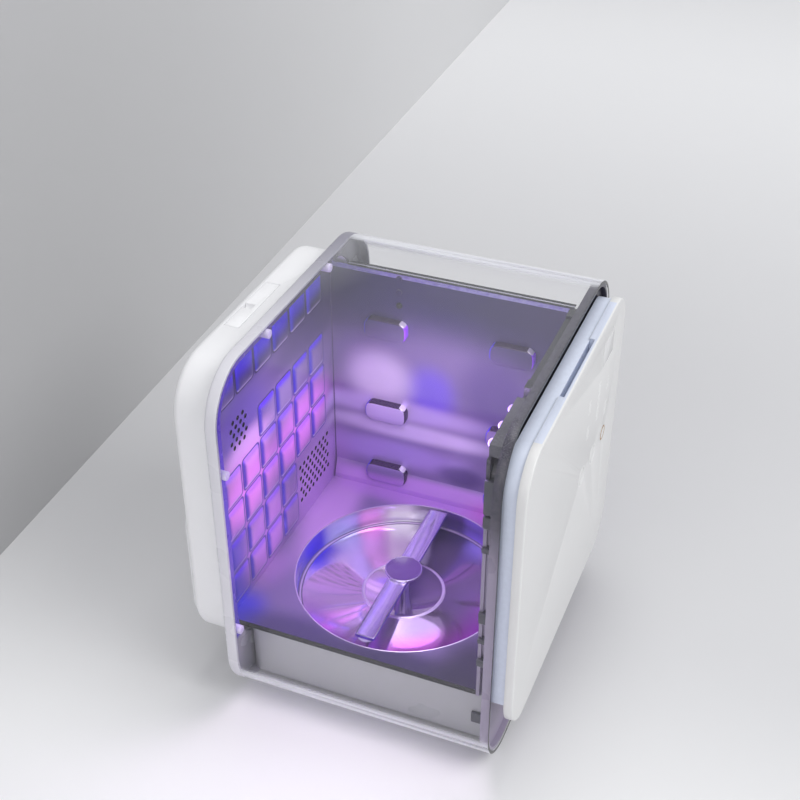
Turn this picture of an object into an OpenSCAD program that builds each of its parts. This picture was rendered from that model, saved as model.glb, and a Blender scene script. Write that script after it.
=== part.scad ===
// Bench-top ultraviolet steriliser: a clear wrap round an open steel cavity, a white rear cover
// and a drop-down door. X runs across the door, +Y runs from the door to the rear, +Z is up.
// The origin is under the middle of the whole appliance, on the surface it stands on.

/* [Case] */
// Outside width of the clear wrap
case_w = 302; // [290:1:320]
// Outside height of the clear wrap
case_h = 340; // [335:1:360]
// Length of the clear wrap from front to back
wrap_len = 231; // [224:1:250]
// Outside corner radius of the clear wrap
case_r = 49; // [42:1:54]
// Wall thickness of the clear wrap
wrap_t = 3; // [2:0.5:4]
// Height of the feet under the wrap
foot_h = 4; // [3:0.5:6]
// Radius of each foot
foot_r = 10; // [8:1:14]
// Distance of the feet from the middle, sideways
foot_x = 95; // [80:1:100]
// Distance of the feet in from each end of the wrap
foot_in = 28; // [20:1:40]

/* [Rear cover] */
// Depth of the rim behind the wrap
rim_len = 11; // [9:1:14]
// Wall thickness of the rear cover
cover_wall = 3; // [2:0.5:3.5]
// Depth of the bulge behind the rim
bulge_d = 41; // [40:1:48]
// Side step from the wrap in to the bulge
bulge_side = 18.5; // [16:0.5:20]
// Step from the top of the wrap down to the bulge
bulge_top = 14; // [10:1:16]
// Step from the bottom of the wrap up to the bulge
bulge_bottom = 37; // [30:1:38]
// Corner radius of the bulge
bulge_r = 45; // [40:1:48]
// Wall of the rim
rim_t = 3; // [2.5:0.5:4]
// Radius of the locating pegs
peg_r = 3.9; // [3:0.1:4.2]
// Length of the locating pegs in front of the rim
peg_len = 3; // [2:0.5:6]
// Height of the lower and the upper side pegs above the wrap's bottom
peg_low = 81; // [60:1:110]
// Height of the upper side pegs above the wrap's bottom
peg_high = 249; // [220:1:270]
// Distance of the top pegs from the middle
peg_top_x = 59; // [50:1:80]

/* [Rear grille] */
// Thickness of the rear grille
grille_t = 5; // [4:0.5:7]
// Width of the rear grille
grille_w = 244; // [234:1:246]
// Height of the rear grille
grille_h = 136; // [128:1:140]
// Step from the bottom of the bulge up to the rear grille
grille_low = 12; // [10:1:16]
// Corner radius of the rear grille
grille_r = 28; // [20:1:32]
// Height of one slot
slot_h = 3; // [2:0.5:4]
// Spacing of the slots
slot_pitch = 7; // [6:0.5:10]
// Length of the slots
slot_len = 90; // [60:1:100]

/* [Cavity] */
// Gap between the steel liner and the wrap at each side
side_gap = 31.5; // [30:0.5:34]
// Gap between the top of the steel liner and the wrap
top_gap = 31.5; // [28:0.5:36]
// Height of the cavity floor above the bottom of the wrap
floor_rise = 57.5; // [54:0.5:60]
// Thickness of the steel sheet
sheet_t = 0.8; // [0.6:0.1:1.2]
// Distance of the back wall behind the rim
wall_set = 15; // [14:0.5:17]
// Depth of the top fold of the side wall
fold_w = 7; // [5:1:10]
// Height of the ledge at the foot of the side wall
ledge_h = 22; // [18:1:28]
// Depth of that ledge
ledge_d = 6; // [4:0.5:8]
// Height of the turned edge along the open side of the floor
turn_h = 5; // [3:0.5:8]

/* [Rack supports] */
// Length of a rack support
support_w = 42; // [34:1:50]
// Height of a rack support
support_h = 21; // [16:1:24]
// Depth of a rack support
support_d = 8; // [5:0.5:12]
// Distance between the two columns of rack supports
support_pitch_y = 124; // [100:1:140]
// Corner radius of a rack support
support_r = 8; // [5:0.5:8]
// Height of the lowest rack supports above the cavity floor
support_low = 19.5; // [16:0.5:22]
// Height of the middle rack supports above the cavity floor
support_mid = 94; // [84:0.5:104]
// Height of the highest rack supports above the cavity floor
support_high = 188.5; // [176:0.5:194]

/* [Vents and quilting] */
// Spacing of the quilted pillows across the back wall
quilt_w = 34; // [32:0.5:38]
// Spacing of the quilted pillows in height
quilt_h = 35.5; // [33:0.5:38]
// Gap between two pillows
quilt_gap = 4; // [3:0.5:6]
// Corner radius of a pillow
quilt_r = 4; // [2:0.5:6]
// Depth of the quilting
quilt_d = 1.6; // [0.8:0.1:2.4]
// Radius of a vent hole
vent_r = 2.3; // [1.6:0.1:2.6]
// Spacing of the vent holes in a row
vent_pitch = 8.7; // [7.8:0.1:9.4]
// Spacing of the rows of vent holes
vent_row = 6.5; // [6:0.1:7.4]
// Place of the upper vent across the back wall
vent_a_x = -72; // [-80:1:-66]
// Height of the upper vent above the cavity floor
vent_a_z = 180.5; // [170:0.5:190]
// Place of the lower vent across the back wall
vent_b_x = 67; // [60:1:70]
// Height of the lower vent above the cavity floor
vent_b_z = 43.5; // [42.5:0.5:54]

/* [Floor basin] */
// Radius of the basin in the cavity floor
basin_r = 101; // [92:0.5:101]
// Draft of the basin's wall from its top to its bottom
basin_draft = 1; // [0.5:0.5:6]
// Depth of the basin
basin_d = 20.5; // [10:0.5:21]
// Radius of the bead round the post
bead_r = 38; // [32:1:46]
// Distance of the post in front of the middle of the cavity
post_forward = 4.5; // [2:0.5:8]

/* [Reflector bar] */
// Radius of the post
post_r = 6.5; // [6:0.5:9]
// Radius of the cap on the post
cap_r = 17.5; // [14:0.5:20]
// Height of the bar's underside above the cavity floor
bar_lift = 0.5; // [0.5:0.5:8]
// Length of the bar
bar_len = 186; // [160:1:190]
// Width of the bar
bar_w = 18.5; // [16:0.5:24]
// Thickness of the bar
bar_t = 3.5; // [2:0.5:5]
// Radius of the round pads under the ends of the bar
pad_r = 8; // [5:0.5:9]
// Radius of the drive shaft
shaft_r = 3; // [2:0.5:3.5]

/* [Front frame] */
// Depth of the front frame behind the front edge of the wrap
frame_depth = 23; // [20:0.5:28]
// Setback of the frame's face behind the front edge of the wrap
face_set = 5.5; // [4.5:0.5:7]
// Wall thickness of the front frame
frame_wall = 3; // [2:0.5:4]
// Length of the frame's lip in front of its face
lip_len = 4.5; // [3:0.5:4.5]
// Width of the opening
mouth_w = 224; // [200:1:226]
// Height of the sill of the opening above the cavity floor
sill_h = 34.5; // [30:0.5:40]
// Height of the lintel below the top of the liner
lintel_h = 6.5; // [5:0.5:10]
// Corner radius of the opening
mouth_r = 18; // [10:1:26]
// Width of the door seal
seal_w = 5; // [4:0.5:7]

/* [Door] */
// Width of the door
door_w = 287; // [270:1:288]
// Height of the lower edge of the door above the bottom of the wrap
door_low = 48; // [44:1:52]
// Height of the door
door_h = 276.4; // [270:0.2:280]
// Corner radius of the door
door_r = 35; // [30:1:40]
// Thickness of the door slab
slab_t = 8; // [7.5:0.5:10]
// Wall thickness of the door slab and of its liner
door_wall = 2.2; // [1.8:0.1:2.6]
// Gap between the slab and the front edge of the wrap
door_gap = 9; // [8.5:0.5:12]
// Side step from the slab in to the door liner
band_in = 2; // [1.5:0.5:4]
// Height of the door liner's lower end above the lower edge of the door
band_low = 34; // [30:1:40]
// Width of the finger recess
grip_w = 89; // [70:1:110]
// Depth of the finger recess into the slab
grip_d = 4.5; // [4.5:0.25:5.25]
// Height of the finger recess
grip_h = 12; // [9:1:16]

/* [Hinge] */
// Radius of the hinge knuckles
knuckle_r = 4; // [3.5:0.5:4]
// Radius of the hinge pins
hinge_pin_r = 2; // [1.5:0.5:2]
// Length of each knuckle
knuckle_len = 12; // [8:1:16]
// Distance of the hinges from the middle
hinge_x = 98; // [80:1:110]
// Height of the hinge axis above the lower edge of the door
hinge_up = 4; // [4:0.5:5]

/* [Keys] */
// Radius of a key
key_r = 7; // [5:0.5:8]
// Spacing of the keys
key_pitch = 34.5; // [28:0.5:36]
// Place of the middle key across the door
key_x = 63.5; // [60:0.5:70]
// Height of the keys above the lower edge of the door
key_up = 148; // [130:1:156]
// Travel of a key
key_travel = 0.8; // [0.5:0.1:1]
// Width of the display window
window_w = 33; // [24:1:40]
// Height of the display window
window_h = 24; // [18:1:30]
// Height of the display window above the middle of the door
window_up = 106.8; // [98:0.2:110]

/* [Lamp bar] */
// Length of the lamp bar
lamp_len = 66; // [60:1:80]
// Height of the lamp bar
lamp_h = 11; // [9:1:13]
// Depth of the lamp bar
lamp_d = 14; // [12:1:16]
// Place of the lamp bar across the frame
lamp_x = -81; // [-82:1:-70]
// Radius of the lamp lenses
lens_r = 4; // [3:0.5:4.5]
// Spacing of the lamp lenses
lens_pitch = 23.5; // [16:0.5:25]

/* [Fan and heater] */
// Side of the fan housing
fan_side = 68; // [62:1:70]
// Depth of the fan housing
fan_d = 13; // [10:1:13.5]
// Radius of the fan's bore
fan_r = 31.5; // [26:0.5:32]
// Radius of the fan's hub
fan_hub_r = 12; // [9:0.5:14]
// Number of fan blades
fan_blades = 7; // [5:1:9]
// Depth of the heater
heater_d = 8; // [6:1:8]

/* [Air filter] */
// Place of the filter tray across the rear cover
tray_x = -12; // [-20:1:0]
// Width of the filter tray
tray_w = 76; // [64:1:80]
// Depth of the filter tray
tray_d = 13; // [12:0.5:14]
// Height of the filter tray
tray_h = 62; // [50:1:70]
// Distance of the tray behind the back wall
tray_set = 4; // [3.5:0.5:5]

/* [Base] */
// Wall thickness of the base box
base_wall = 2.5; // [2:0.5:3]
// Side step from the liner in to the base box
base_in = 1; // [0.5:0.5:3]
// Radius of the rear corners of the base box
base_r = 12; // [6:1:16]
// Radius of the drive motor
motor_r = 25; // [20:1:30]
// Height of the drive motor
motor_h = 23; // [18:1:28]
// Height of the posts under the power board
board_post_h = 8; // [5:1:12]

/* [Hidden] */
$fn = 96;
// Clearances: pieces that sit in one another, a shaft in its bore, and the reach of a cut
fit_gap = 0.3;
run_gap = 0.05;
cut = 1;
// How far one solid is sunk into another that it is one piece with
sink_in = 0.4;

// Stations from front to back, counted from the middle of the whole depth
total_d = slab_t + door_gap + wrap_len + rim_len + bulge_d + grille_t;
y_door = -total_d / 2;
y_slab = y_door + slab_t;
y_wrap = y_slab + door_gap;
y_rim = y_wrap + wrap_len;
y_bulge = y_rim + rim_len;
y_rear = y_bulge + bulge_d;
y_grille = y_rear + grille_t;
y_face = y_wrap + face_set;
y_mouth = y_wrap + frame_depth;
y_back = y_bulge + wall_set;
y_wall = y_back + sheet_t;
y_inner = y_rear - cover_wall;

// Stations in height
z_wrap = foot_h;
z_top = z_wrap + case_h;
z_floor = z_wrap + floor_rise;
z_under = z_floor - sheet_t;
z_liner = z_top - wrap_t - top_gap;
z_basin = z_floor - basin_d;
z_sill = z_floor + sill_h;
z_lintel = z_liner - lintel_h;
z_door = z_wrap + door_low;
z_door_top = z_door + door_h;
z_band = z_door + band_low;
z_hinge = z_door + hinge_up;
z_bar = z_floor + bar_lift;

// Half widths
liner_x = case_w / 2 - wrap_t - side_gap;
sheet_x = liner_x + sheet_t;
base_x = liner_x - base_in;
bulge_x = case_w / 2 - bulge_side;
mouth_x = mouth_w / 2;
door_x = door_w / 2;
band_x = door_x - band_in;
frame_in = wrap_t + fit_gap;
lip_t = frame_wall - 0.5;
hinge_shift = 0.75;
band_gap = 2;
flange_in = 1;

// The drive axis, the vents and the keys
post_y = (y_mouth + y_back) / 2 - post_forward;
z_bulge = z_wrap + bulge_bottom;
z_bulge_top = z_top - bulge_top;
z_vent_a = z_floor + vent_a_z;
z_vent_b = z_floor + vent_b_z;
z_keys = z_door + key_up;
z_window = z_door + door_h / 2 + window_up;
y_hinge = (y_face + y_slab) / 2 - hinge_shift;
y_band = y_face - band_gap;

// Outlines in the XZ plane, drawn in 2-D as x and z
module rrect(x0, x1, z0, z1, r) {
    translate([x0 + r, z0]) square([x1 - x0 - 2 * r, z1 - z0]);
    translate([x0, z0 + r]) square([x1 - x0, z1 - z0 - 2 * r]);
    for (x = [x0 + r, x1 - r], z = [z0 + r, z1 - r]) translate([x, z]) circle(r);
}

module case_outline(inset) {
    rrect(-case_w / 2 + inset, case_w / 2 - inset, z_wrap + inset, z_top - inset, case_r - inset);
}

module bulge_outline(inset) {
    rrect(-bulge_x + inset, bulge_x - inset, z_bulge + inset, z_bulge_top - inset,
        bulge_r - inset);
}

module mouth_outline(outset) {
    rrect(-mouth_x - outset, mouth_x + outset, z_sill - outset, z_lintel + outset,
        mouth_r + outset);
}

module stadium(length, width) {
    square([length - width, width], center = true);
    for (s = [-1, 1]) translate([s * (length - width) / 2, 0]) circle(width / 2);
}

// Solids drawn from an outline: along Y from x and z, along X from y and z, along Z from x and y
module along_y(y0, y1) {
    translate([0, y1, 0]) rotate([90, 0, 0]) linear_extrude(height = y1 - y0) children();
}

module along_x(x0, x1) {
    translate([x0, 0, 0]) rotate([90, 0, 90]) linear_extrude(height = x1 - x0) children();
}

module along_z(z0, z1) {
    translate([0, 0, z0]) linear_extrude(height = z1 - z0) children();
}

module box(x0, x1, y0, y1, z0, z1) {
    translate([x0, y0, z0]) cube([x1 - x0, y1 - y0, z1 - z0]);
}

module rod_x(x0, x1, y, z, r) {
    translate([x0, y, z]) rotate([0, 90, 0]) cylinder(h = x1 - x0, r = r);
}

module rod_y(y0, y1, x, z, r) {
    translate([x, y0, z]) rotate([-90, 0, 0]) cylinder(h = y1 - y0, r = r);
}

module rod_z(z0, z1, x, y, r) {
    translate([x, y, z0]) cylinder(h = z1 - z0, r = r);
}

// The clear wrap: one band of sheet right round the sides, the top and the bottom
module outer_wrap() {
    color([0.9, 0.93, 0.97, 0.35]) along_y(y_wrap, y_rim) difference() {
        case_outline(0);
        case_outline(wrap_t);
    }
}

// The rear rim, as wide as the wrap, with a flange at its back, and the hollow cover behind it
screw_r = 1.5;
screw_gap = 0.1;
screw_head_r = 3.4;
screw_head_h = 2;
boss_r = 4.5;
rim_in = max(frame_in, rim_t + fit_gap);
y_flange = y_bulge - cover_wall;
screw_in = 36.5;
screw_x = bulge_x - screw_in;
screw_down = 32;
screw_up = 12;
z_screw_high = z_bulge_top - screw_down;
z_grille = z_bulge + grille_low;
z_screw_low = z_grille + screw_up;
tray_y0 = y_wall + tray_set;
tray_y1 = tray_y0 + tray_d;
slot_gap = 0.4;
air_shift = 13;
air_x = vent_b_x - air_shift;
air_up = 4.5;
z_air = z_vent_b + air_up;
air_margin = 2;
air_w = slot_len + 2 * air_margin;
air_h = 70;
inlet_in = 60.5;
inlet_x = -bulge_x + inlet_in;
inlet_up = 24;
z_inlet = z_grille + inlet_up;
inlet_w = 27;
inlet_h = 20;

module screw_places(high, low) {
    for (s = [-1, 1], z = concat(high ? [z_screw_high] : [], low ? [z_screw_low] : []))
        translate([s * screw_x, 0, z]) children();
}

module rear_rim() {
    color([0.96, 0.96, 0.97]) {
        along_y(y_rim, y_bulge) difference() {
            case_outline(0);
            case_outline(rim_t);
        }
        along_y(y_flange, y_bulge) difference() {
            case_outline(0);
            bulge_outline(cover_wall);
        }
    }
}

module rear_cover() {
    color([0.94, 0.94, 0.95]) difference() {
        union() {
            along_y(y_bulge, y_rear) difference() {
                bulge_outline(0);
                bulge_outline(cover_wall);
            }
            along_y(y_inner, y_rear) bulge_outline(0);
            screw_places(true, true) rod_y(y_wall, y_inner + sink_in, 0, 0, boss_r);
        }
        screw_places(true, true) {
            rod_y(y_wall - cut, y_rear + cut, 0, 0, screw_r + screw_gap);
        }
        screw_places(true, false) {
            rod_y(y_rear - screw_head_h, y_rear + cut, 0, 0, screw_head_r + fit_gap);
        }
        box(tray_x - tray_w / 2 - slot_gap, tray_x + tray_w / 2 + slot_gap, tray_y0 - slot_gap,
            tray_y1 + slot_gap, z_bulge_top - cover_wall - cut, z_bulge_top + cut);
        box(air_x - air_w / 2, air_x + air_w / 2, y_inner - cut, y_rear + cut,
            z_air - air_h / 2, z_air + air_h / 2);
        box(inlet_x - inlet_w / 2 - slot_gap, inlet_x + inlet_w / 2 + slot_gap, y_inner - cut,
            y_rear + cut, z_inlet - inlet_h / 2 - slot_gap, z_inlet + inlet_h / 2 + slot_gap);
    }
}

// The raised grille over the fan, with a plain frame round the mains inlet
slots = floor((grille_h - 2 * grille_r) / slot_pitch);

module rear_grille() {
    color([0.9, 0.9, 0.91]) difference() {
        along_y(y_rear, y_grille) rrect(-grille_w / 2, grille_w / 2, z_grille,
            z_grille + grille_h, grille_r);
        for (i = [0 : slots - 1])
            translate([air_x, 0, z_air + (i - (slots - 1) / 2) * slot_pitch])
                along_y(y_rear - cut, y_grille + cut) stadium(slot_len, slot_h);
        box(inlet_x - inlet_w / 2 - slot_gap, inlet_x + inlet_w / 2 + slot_gap, y_rear - cut,
            y_grille + cut, z_inlet - inlet_h / 2 - slot_gap, z_inlet + inlet_h / 2 + slot_gap);
        screw_places(false, true) {
            rod_y(y_rear - cut, y_grille + cut, 0, 0, screw_r + screw_gap);
            rod_y(y_grille - screw_head_h, y_grille + cut, 0, 0, screw_head_r + fit_gap);
        }
    }
}

// Pegs on the rim's flange that hold the wrap's rear edge
peg_gap = 0.2;
peg_in = rim_in + peg_r + peg_gap;

module locating_pegs() {
    color([0.96, 0.95, 0.98]) {
        for (s = [-1, 1], z = [peg_low, peg_high])
            rod_y(y_rim - peg_len, y_flange, s * (case_w / 2 - peg_in), z_wrap + z, peg_r);
        for (s = [-1, 1])
            rod_y(y_rim - peg_len, y_flange, s * peg_top_x, z_top - peg_in, peg_r);
    }
}

module cover_screw(y_head) {
    rod_y(y_head - screw_head_h, y_head, 0, 0, screw_head_r);
    rod_y(y_wall + fit_gap, y_head - screw_head_h / 2, 0, 0, screw_r);
}

module cover_screws() {
    color([0.7, 0.71, 0.73]) {
        screw_places(true, false) cover_screw(y_rear);
        screw_places(false, true) cover_screw(y_grille);
    }
}

// The front frame: a lip along the wrap, a face, and a collar back to the steel liner
module front_frame() {
    color([0.42, 0.43, 0.46]) {
        along_y(y_face - lip_len, y_face + frame_wall / 2) difference() {
            case_outline(frame_in);
            case_outline(frame_in + lip_t);
        }
        difference() {
            union() {
                along_y(y_face, y_face + frame_wall) case_outline(frame_in);
                along_y(y_face, y_mouth) mouth_outline(frame_wall);
                box(-sheet_x, sheet_x, y_mouth - frame_wall, y_mouth, z_under, z_liner);
            }
            along_y(y_face - cut, y_mouth + cut) mouth_outline(0);
            switch_place() rod_y(y_face - cut, y_face + frame_wall + cut, 0, 0,
                plunger_r + run_gap);
        }
    }
}

// Snap clips and ribs on both sides of the frame, and the hooks that hold the base box
clip_depth = 5.5;
clip_y0 = y_face + frame_wall;
clip_y1 = y_mouth - frame_wall;
hook_low = 25;
hook_high = 36;
clip_spans = [[0.8, 0.93], [0.745, 0.79], [0.645, 0.665], [0.345, 0.39], [0.255, 0.275],
    [0.15, 0.18]];

module frame_clips() {
    color([0.3, 0.31, 0.34]) for (s = [-1, 1]) {
        for (c = clip_spans) {
            span = z_liner - z_floor;
            x0 = mouth_x + frame_wall;
            x1 = sheet_x + fit_gap;
            box(min(s * x0, s * (x0 + clip_depth)), max(s * x0, s * (x0 + clip_depth)),
                clip_y0, clip_y1, z_floor + c[0] * span, z_floor + c[1] * span);
            box(min(s * x1, s * (x0 + clip_depth)), max(s * x1, s * (x0 + clip_depth)),
                clip_y1 - sink_in, y_mouth, z_floor + c[0] * span, z_floor + c[1] * span);
        }
        h0 = base_x + fit_gap;
        box(min(s * h0, s * (h0 + frame_wall)), max(s * h0, s * (h0 + frame_wall)),
            clip_y0, clip_y1 + 2 * frame_wall, z_wrap + hook_low, z_wrap + hook_high);
    }
}

// The ledge along the top of the frame, with a block at each end
ledge_x0 = -16;
ledge_x1 = 88;
block_w = 13;

module top_ledge() {
    color([0.24, 0.25, 0.28]) {
        box(ledge_x0, ledge_x1, clip_y0, y_mouth, z_liner, z_liner + 2 * frame_wall);
        box(ledge_x0 - block_w, ledge_x0, clip_y0, y_mouth, z_liner, z_liner + 3 * frame_wall);
        box(ledge_x1, ledge_x1 + block_w, clip_y0, y_mouth, z_liner, z_liner + 3 * frame_wall);
    }
}

// The soft seal round the opening
seal_gap = 0.3;
seal_out = 2;

module door_seal() {
    color([0.25, 0.25, 0.27]) along_y(y_band + seal_gap, y_face) difference() {
        mouth_outline(seal_out + seal_w);
        mouth_outline(seal_out);
    }
}

// Hinges: a bracket and a pin on the frame, and a lug on the door, at both sides
lug_gap = 0.3;
pin_gap = 0.02;
lug_len = 10;

module both_sides() {
    children();
    mirror([1, 0, 0]) children();
}

module hinge_brackets() {
    color([0.55, 0.56, 0.58]) both_sides() difference() {
        union() {
            rod_x(hinge_x - knuckle_len, hinge_x, y_hinge, z_hinge, knuckle_r);
            box(hinge_x - knuckle_len, hinge_x, y_hinge, y_face, z_hinge - knuckle_r / 2,
                z_hinge + knuckle_r / 2);
        }
        rod_x(hinge_x - knuckle_len - cut, hinge_x + cut, y_hinge, z_hinge, hinge_pin_r + pin_gap);
    }
}

module hinge_pins() {
    color([0.75, 0.76, 0.78]) both_sides()
        rod_x(hinge_x - knuckle_len - cut, hinge_x + lug_gap + lug_len + cut, y_hinge, z_hinge,
            hinge_pin_r);
}

module hinge_lugs() {
    color([0.85, 0.86, 0.88]) both_sides() difference() {
        union() {
            rod_x(hinge_x + lug_gap, hinge_x + lug_gap + lug_len, y_hinge, z_hinge, knuckle_r);
            box(hinge_x + lug_gap, hinge_x + lug_gap + lug_len, y_slab, y_hinge,
                z_hinge - knuckle_r / 2, z_hinge + knuckle_r / 2);
        }
        rod_x(hinge_x, hinge_x + lug_len + cut, y_hinge, z_hinge, hinge_pin_r + run_gap);
    }
}

// Magnets that hold the door shut
strip_in = mouth_x + frame_wall + clip_depth;
strip_out = min(case_w / 2 - frame_in - lip_t, band_x - door_wall - flange_in);
strip_x = (strip_in + strip_out) / 2;
magnet_down = 65;
magnet_w = 8;
magnet_h = 20;
magnet_t = 4;
z_magnet = z_door_top - magnet_down;

module frame_magnets() {
    color([0.5, 0.5, 0.52]) for (s = [-1, 1])
        box(s * strip_x - magnet_w / 2, s * strip_x + magnet_w / 2, clip_y0,
            clip_y0 + magnet_t, z_magnet - magnet_h / 2, z_magnet + magnet_h / 2);
}

module door_magnets() {
    color([0.5, 0.5, 0.52]) for (s = [-1, 1])
        box(s * strip_x - magnet_w / 2, s * strip_x + magnet_w / 2,
            y_band - door_wall - magnet_t, y_band - door_wall, z_magnet - magnet_h / 2,
            z_magnet + magnet_h / 2);
}

// The door switch behind the frame's face, and the plunger that the door pushes
plunger_r = 2;
plunger_travel = 1.4;
plunger_head_r = 3.2;
switch_w = 18;
switch_h = 9;
switch_up = 20;
head_t = 3.7;
bore_room = 4.6;
switch_bore = fit_gap + head_t + plunger_travel + bore_room;
z_switch = z_sill + switch_up;
plunger_y0 = y_band + seal_gap;

module switch_place() {
    translate([strip_x, 0, z_switch]) children();
}

module door_switch() {
    color([0.15, 0.15, 0.17]) switch_place() difference() {
        box(-switch_h / 2, switch_h / 2, clip_y0, clip_y0 + switch_w, -switch_w / 2,
            switch_w / 2);
        rod_y(clip_y0 - cut, clip_y0 + switch_bore, 0, 0, plunger_head_r + fit_gap);
    }
}

module switch_plunger() {
    color([0.8, 0.25, 0.2]) switch_place() {
        rod_y(plunger_y0, clip_y0 + cut, 0, 0, plunger_r);
        rod_y(clip_y0 + fit_gap, clip_y0 + fit_gap + head_t, 0, 0, plunger_head_r);
    }
}

// The ultraviolet lamp bar behind the top of the frame, with three domed lenses
z_lamp = z_liner + 1;

module uv_lamp_bar() {
    color([0.62, 0.63, 0.66]) difference() {
        box(lamp_x - lamp_len / 2, lamp_x + lamp_len / 2, clip_y0, clip_y0 + lamp_d, z_lamp,
            z_lamp + lamp_h);
        lens_places() sphere(lens_r + run_gap);
    }
}

module lens_places() {
    for (i = [-1, 0, 1])
        translate([lamp_x + i * lens_pitch, clip_y0 + lamp_d, z_lamp + lamp_h / 2]) children();
}

module uv_lenses() {
    color([0.75, 0.6, 1, 0.7]) lens_places() {
        sphere(lens_r);
    }
}

// The steel side wall opposite the open side, with its rack supports and its foot ledge
support_shift = 3;
dot_in = 12;
dot_down = 5;
dot_pitch = 14;
rivet_r = 3;
rivet_t = 0.8;
support_y = (y_mouth + y_back) / 2 - support_shift;
dot_y = support_y + support_pitch_y / 2 - dot_in;
sheet_mid = liner_x + sheet_t / 2;

module liner_side_wall() {
    color([0.66, 0.65, 0.72]) {
        box(liner_x, sheet_x, y_mouth, y_back, z_under, z_liner);
        box(liner_x, sheet_x + fold_w, y_mouth, y_bulge - cover_wall - fit_gap,
            z_liner - sheet_t, z_liner);
        along_y(y_mouth, y_back) polygon([[sheet_mid, z_floor], [liner_x - ledge_d, z_floor],
            [liner_x - ledge_d, z_floor + ledge_h / 4], [liner_x, z_floor + ledge_h],
            [sheet_mid, z_floor + ledge_h]]);
        for (sy = [-1, 1], up = [support_low, support_mid, support_high])
            translate([0, support_y + sy * support_pitch_y / 2, z_floor + up])
                along_x(liner_x - support_d, sheet_mid) rrect(-support_w / 2, support_w / 2,
                    -support_h / 2, support_h / 2, support_r, $fn = 48);
    }
}

// Two rivets and the temperature sensor near the top of the side wall
module wall_rivets() {
    color([0.75, 0.75, 0.8]) for (i = [0, 1])
        rod_x(liner_x - rivet_t, liner_x, dot_y, z_liner - dot_down - i * dot_pitch, rivet_r);
}

module temp_sensor() {
    color([0.08, 0.08, 0.1])
        rod_x(liner_x - 2 * rivet_t, liner_x, dot_y, z_liner - dot_down - 2 * dot_pitch, rivet_r);
}

// The steel back wall: a grid of quilted pillows, a row of them along the top and two vents
quilt_cols = 6;
quilt_rows = 5;
quilt_in = 27;
quilt_top = 15.5;
quilt_down = 82;
quilt_slope = 0.8;
vent_a_rows = 5;
vent_b_rows = 7;

function clear_of_vents(x, z) =
    (abs(x - vent_a_x) > quilt_w || abs(z - z_vent_a) > quilt_h)
    && (abs(x - vent_b_x) > quilt_w || abs(z - z_vent_b) > quilt_h);

module quilting() {
    for (i = [0 : quilt_cols - 1], down = concat([quilt_top],
            [for (j = [0 : quilt_rows - 1]) quilt_down + j * quilt_h])) {
        x = -liner_x + quilt_in + i * quilt_w;
        if (clear_of_vents(x, z_liner - down)) translate([x, 0, z_liner - down]) pillow();
    }
}

module pillow() {
    w = quilt_w - quilt_gap;
    h = quilt_h - quilt_gap;
    translate([0, y_back, 0]) rotate([90, 0, 0])
        linear_extrude(height = quilt_d, scale = quilt_slope)
            rrect(-w / 2, w / 2, -h / 2, h / 2, quilt_r, $fn = 16);
}

module vent_holes(even, odd, rows, x, z) {
    for (j = [0 : rows - 1]) {
        holes = j % 2 == 0 ? even : odd;
        for (i = [0 : holes - 1])
            translate([x + (i - (holes - 1) / 2) * vent_pitch, 0,
                z + (j - (rows - 1) / 2) * vent_row])
                along_y(y_back - cut, y_wall + cut) circle(r = vent_r, $fn = 12);
    }
}

module liner_back_wall() {
    color([0.66, 0.65, 0.72]) {
        difference() {
            box(-liner_x, sheet_x, y_back, y_wall, z_under, z_liner);
            vent_holes(3, 4, vent_a_rows, vent_a_x, z_vent_a);
            vent_holes(8, 7, vent_b_rows, vent_b_x, z_vent_b);
        }
        intersection() {
            quilting();
            box(-liner_x, liner_x, y_back - quilt_d - cut, y_wall, z_floor, z_liner);
        }
    }
}

// The floor pan: a sheet with a round basin, a bead round the post and a turned edge
bead_w = 3;
bead_h = 1;
shaft_hole_gap = 1.5;
shaft_hole_r = shaft_r + shaft_hole_gap;
basin_flat_r = basin_r - basin_draft;

module floor_pan() {
    color([0.62, 0.61, 0.68]) {
        difference() {
            box(-liner_x, liner_x, y_mouth, y_back, z_under, z_floor);
            rod_z(z_under - cut, z_floor + cut, 0, post_y, basin_r);
        }
        translate([0, post_y, 0]) rotate_extrude() polygon([[shaft_hole_r, z_basin - sheet_t],
            [basin_flat_r + sheet_t, z_basin - sheet_t], [basin_r + sheet_t, z_under],
            [basin_r + sheet_t, z_floor], [basin_r, z_floor], [basin_flat_r, z_basin],
            [bead_r + bead_w, z_basin], [bead_r + bead_w / 2, z_basin + bead_h],
            [bead_r, z_basin], [shaft_hole_r, z_basin]]);
        box(-liner_x, -liner_x + sheet_t, y_mouth, y_back, z_floor, z_floor + turn_h);
    }
}

// The grey box under the floor; its rear end is inside the rim
base_y1 = y_flange - fit_gap;
base_y0 = y_mouth - 2 * frame_wall;
z_base_floor = z_wrap + rim_in + base_wall;

module base_outline(inset) {
    rrect(-base_x + inset, base_x - inset, base_y0 + inset, base_y1 - inset, base_r - inset);
    translate([-base_x + inset, base_y0 + inset])
        square([2 * (base_x - inset), base_r + inset]);
}

module base_box() {
    color([0.58, 0.58, 0.61]) difference() {
        intersection() {
            along_z(z_wrap, z_under) base_outline(0);
            along_y(base_y0 - cut, base_y1 + cut) case_outline(rim_in);
        }
        along_z(z_base_floor, z_under + cut) base_outline(base_wall);
        rod_z(z_basin - sheet_t - fit_gap, z_under + cut, 0, post_y,
            basin_r + sheet_t + fit_gap);
    }
}

// The post, its bushing, the motor under the floor and the shaft between them
bushing_t = 1.5;
bushing_r = shaft_r + bushing_t;
shaft_low = z_basin - sheet_t - motor_h * 0.6;
post_gap = 0.3;

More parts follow.
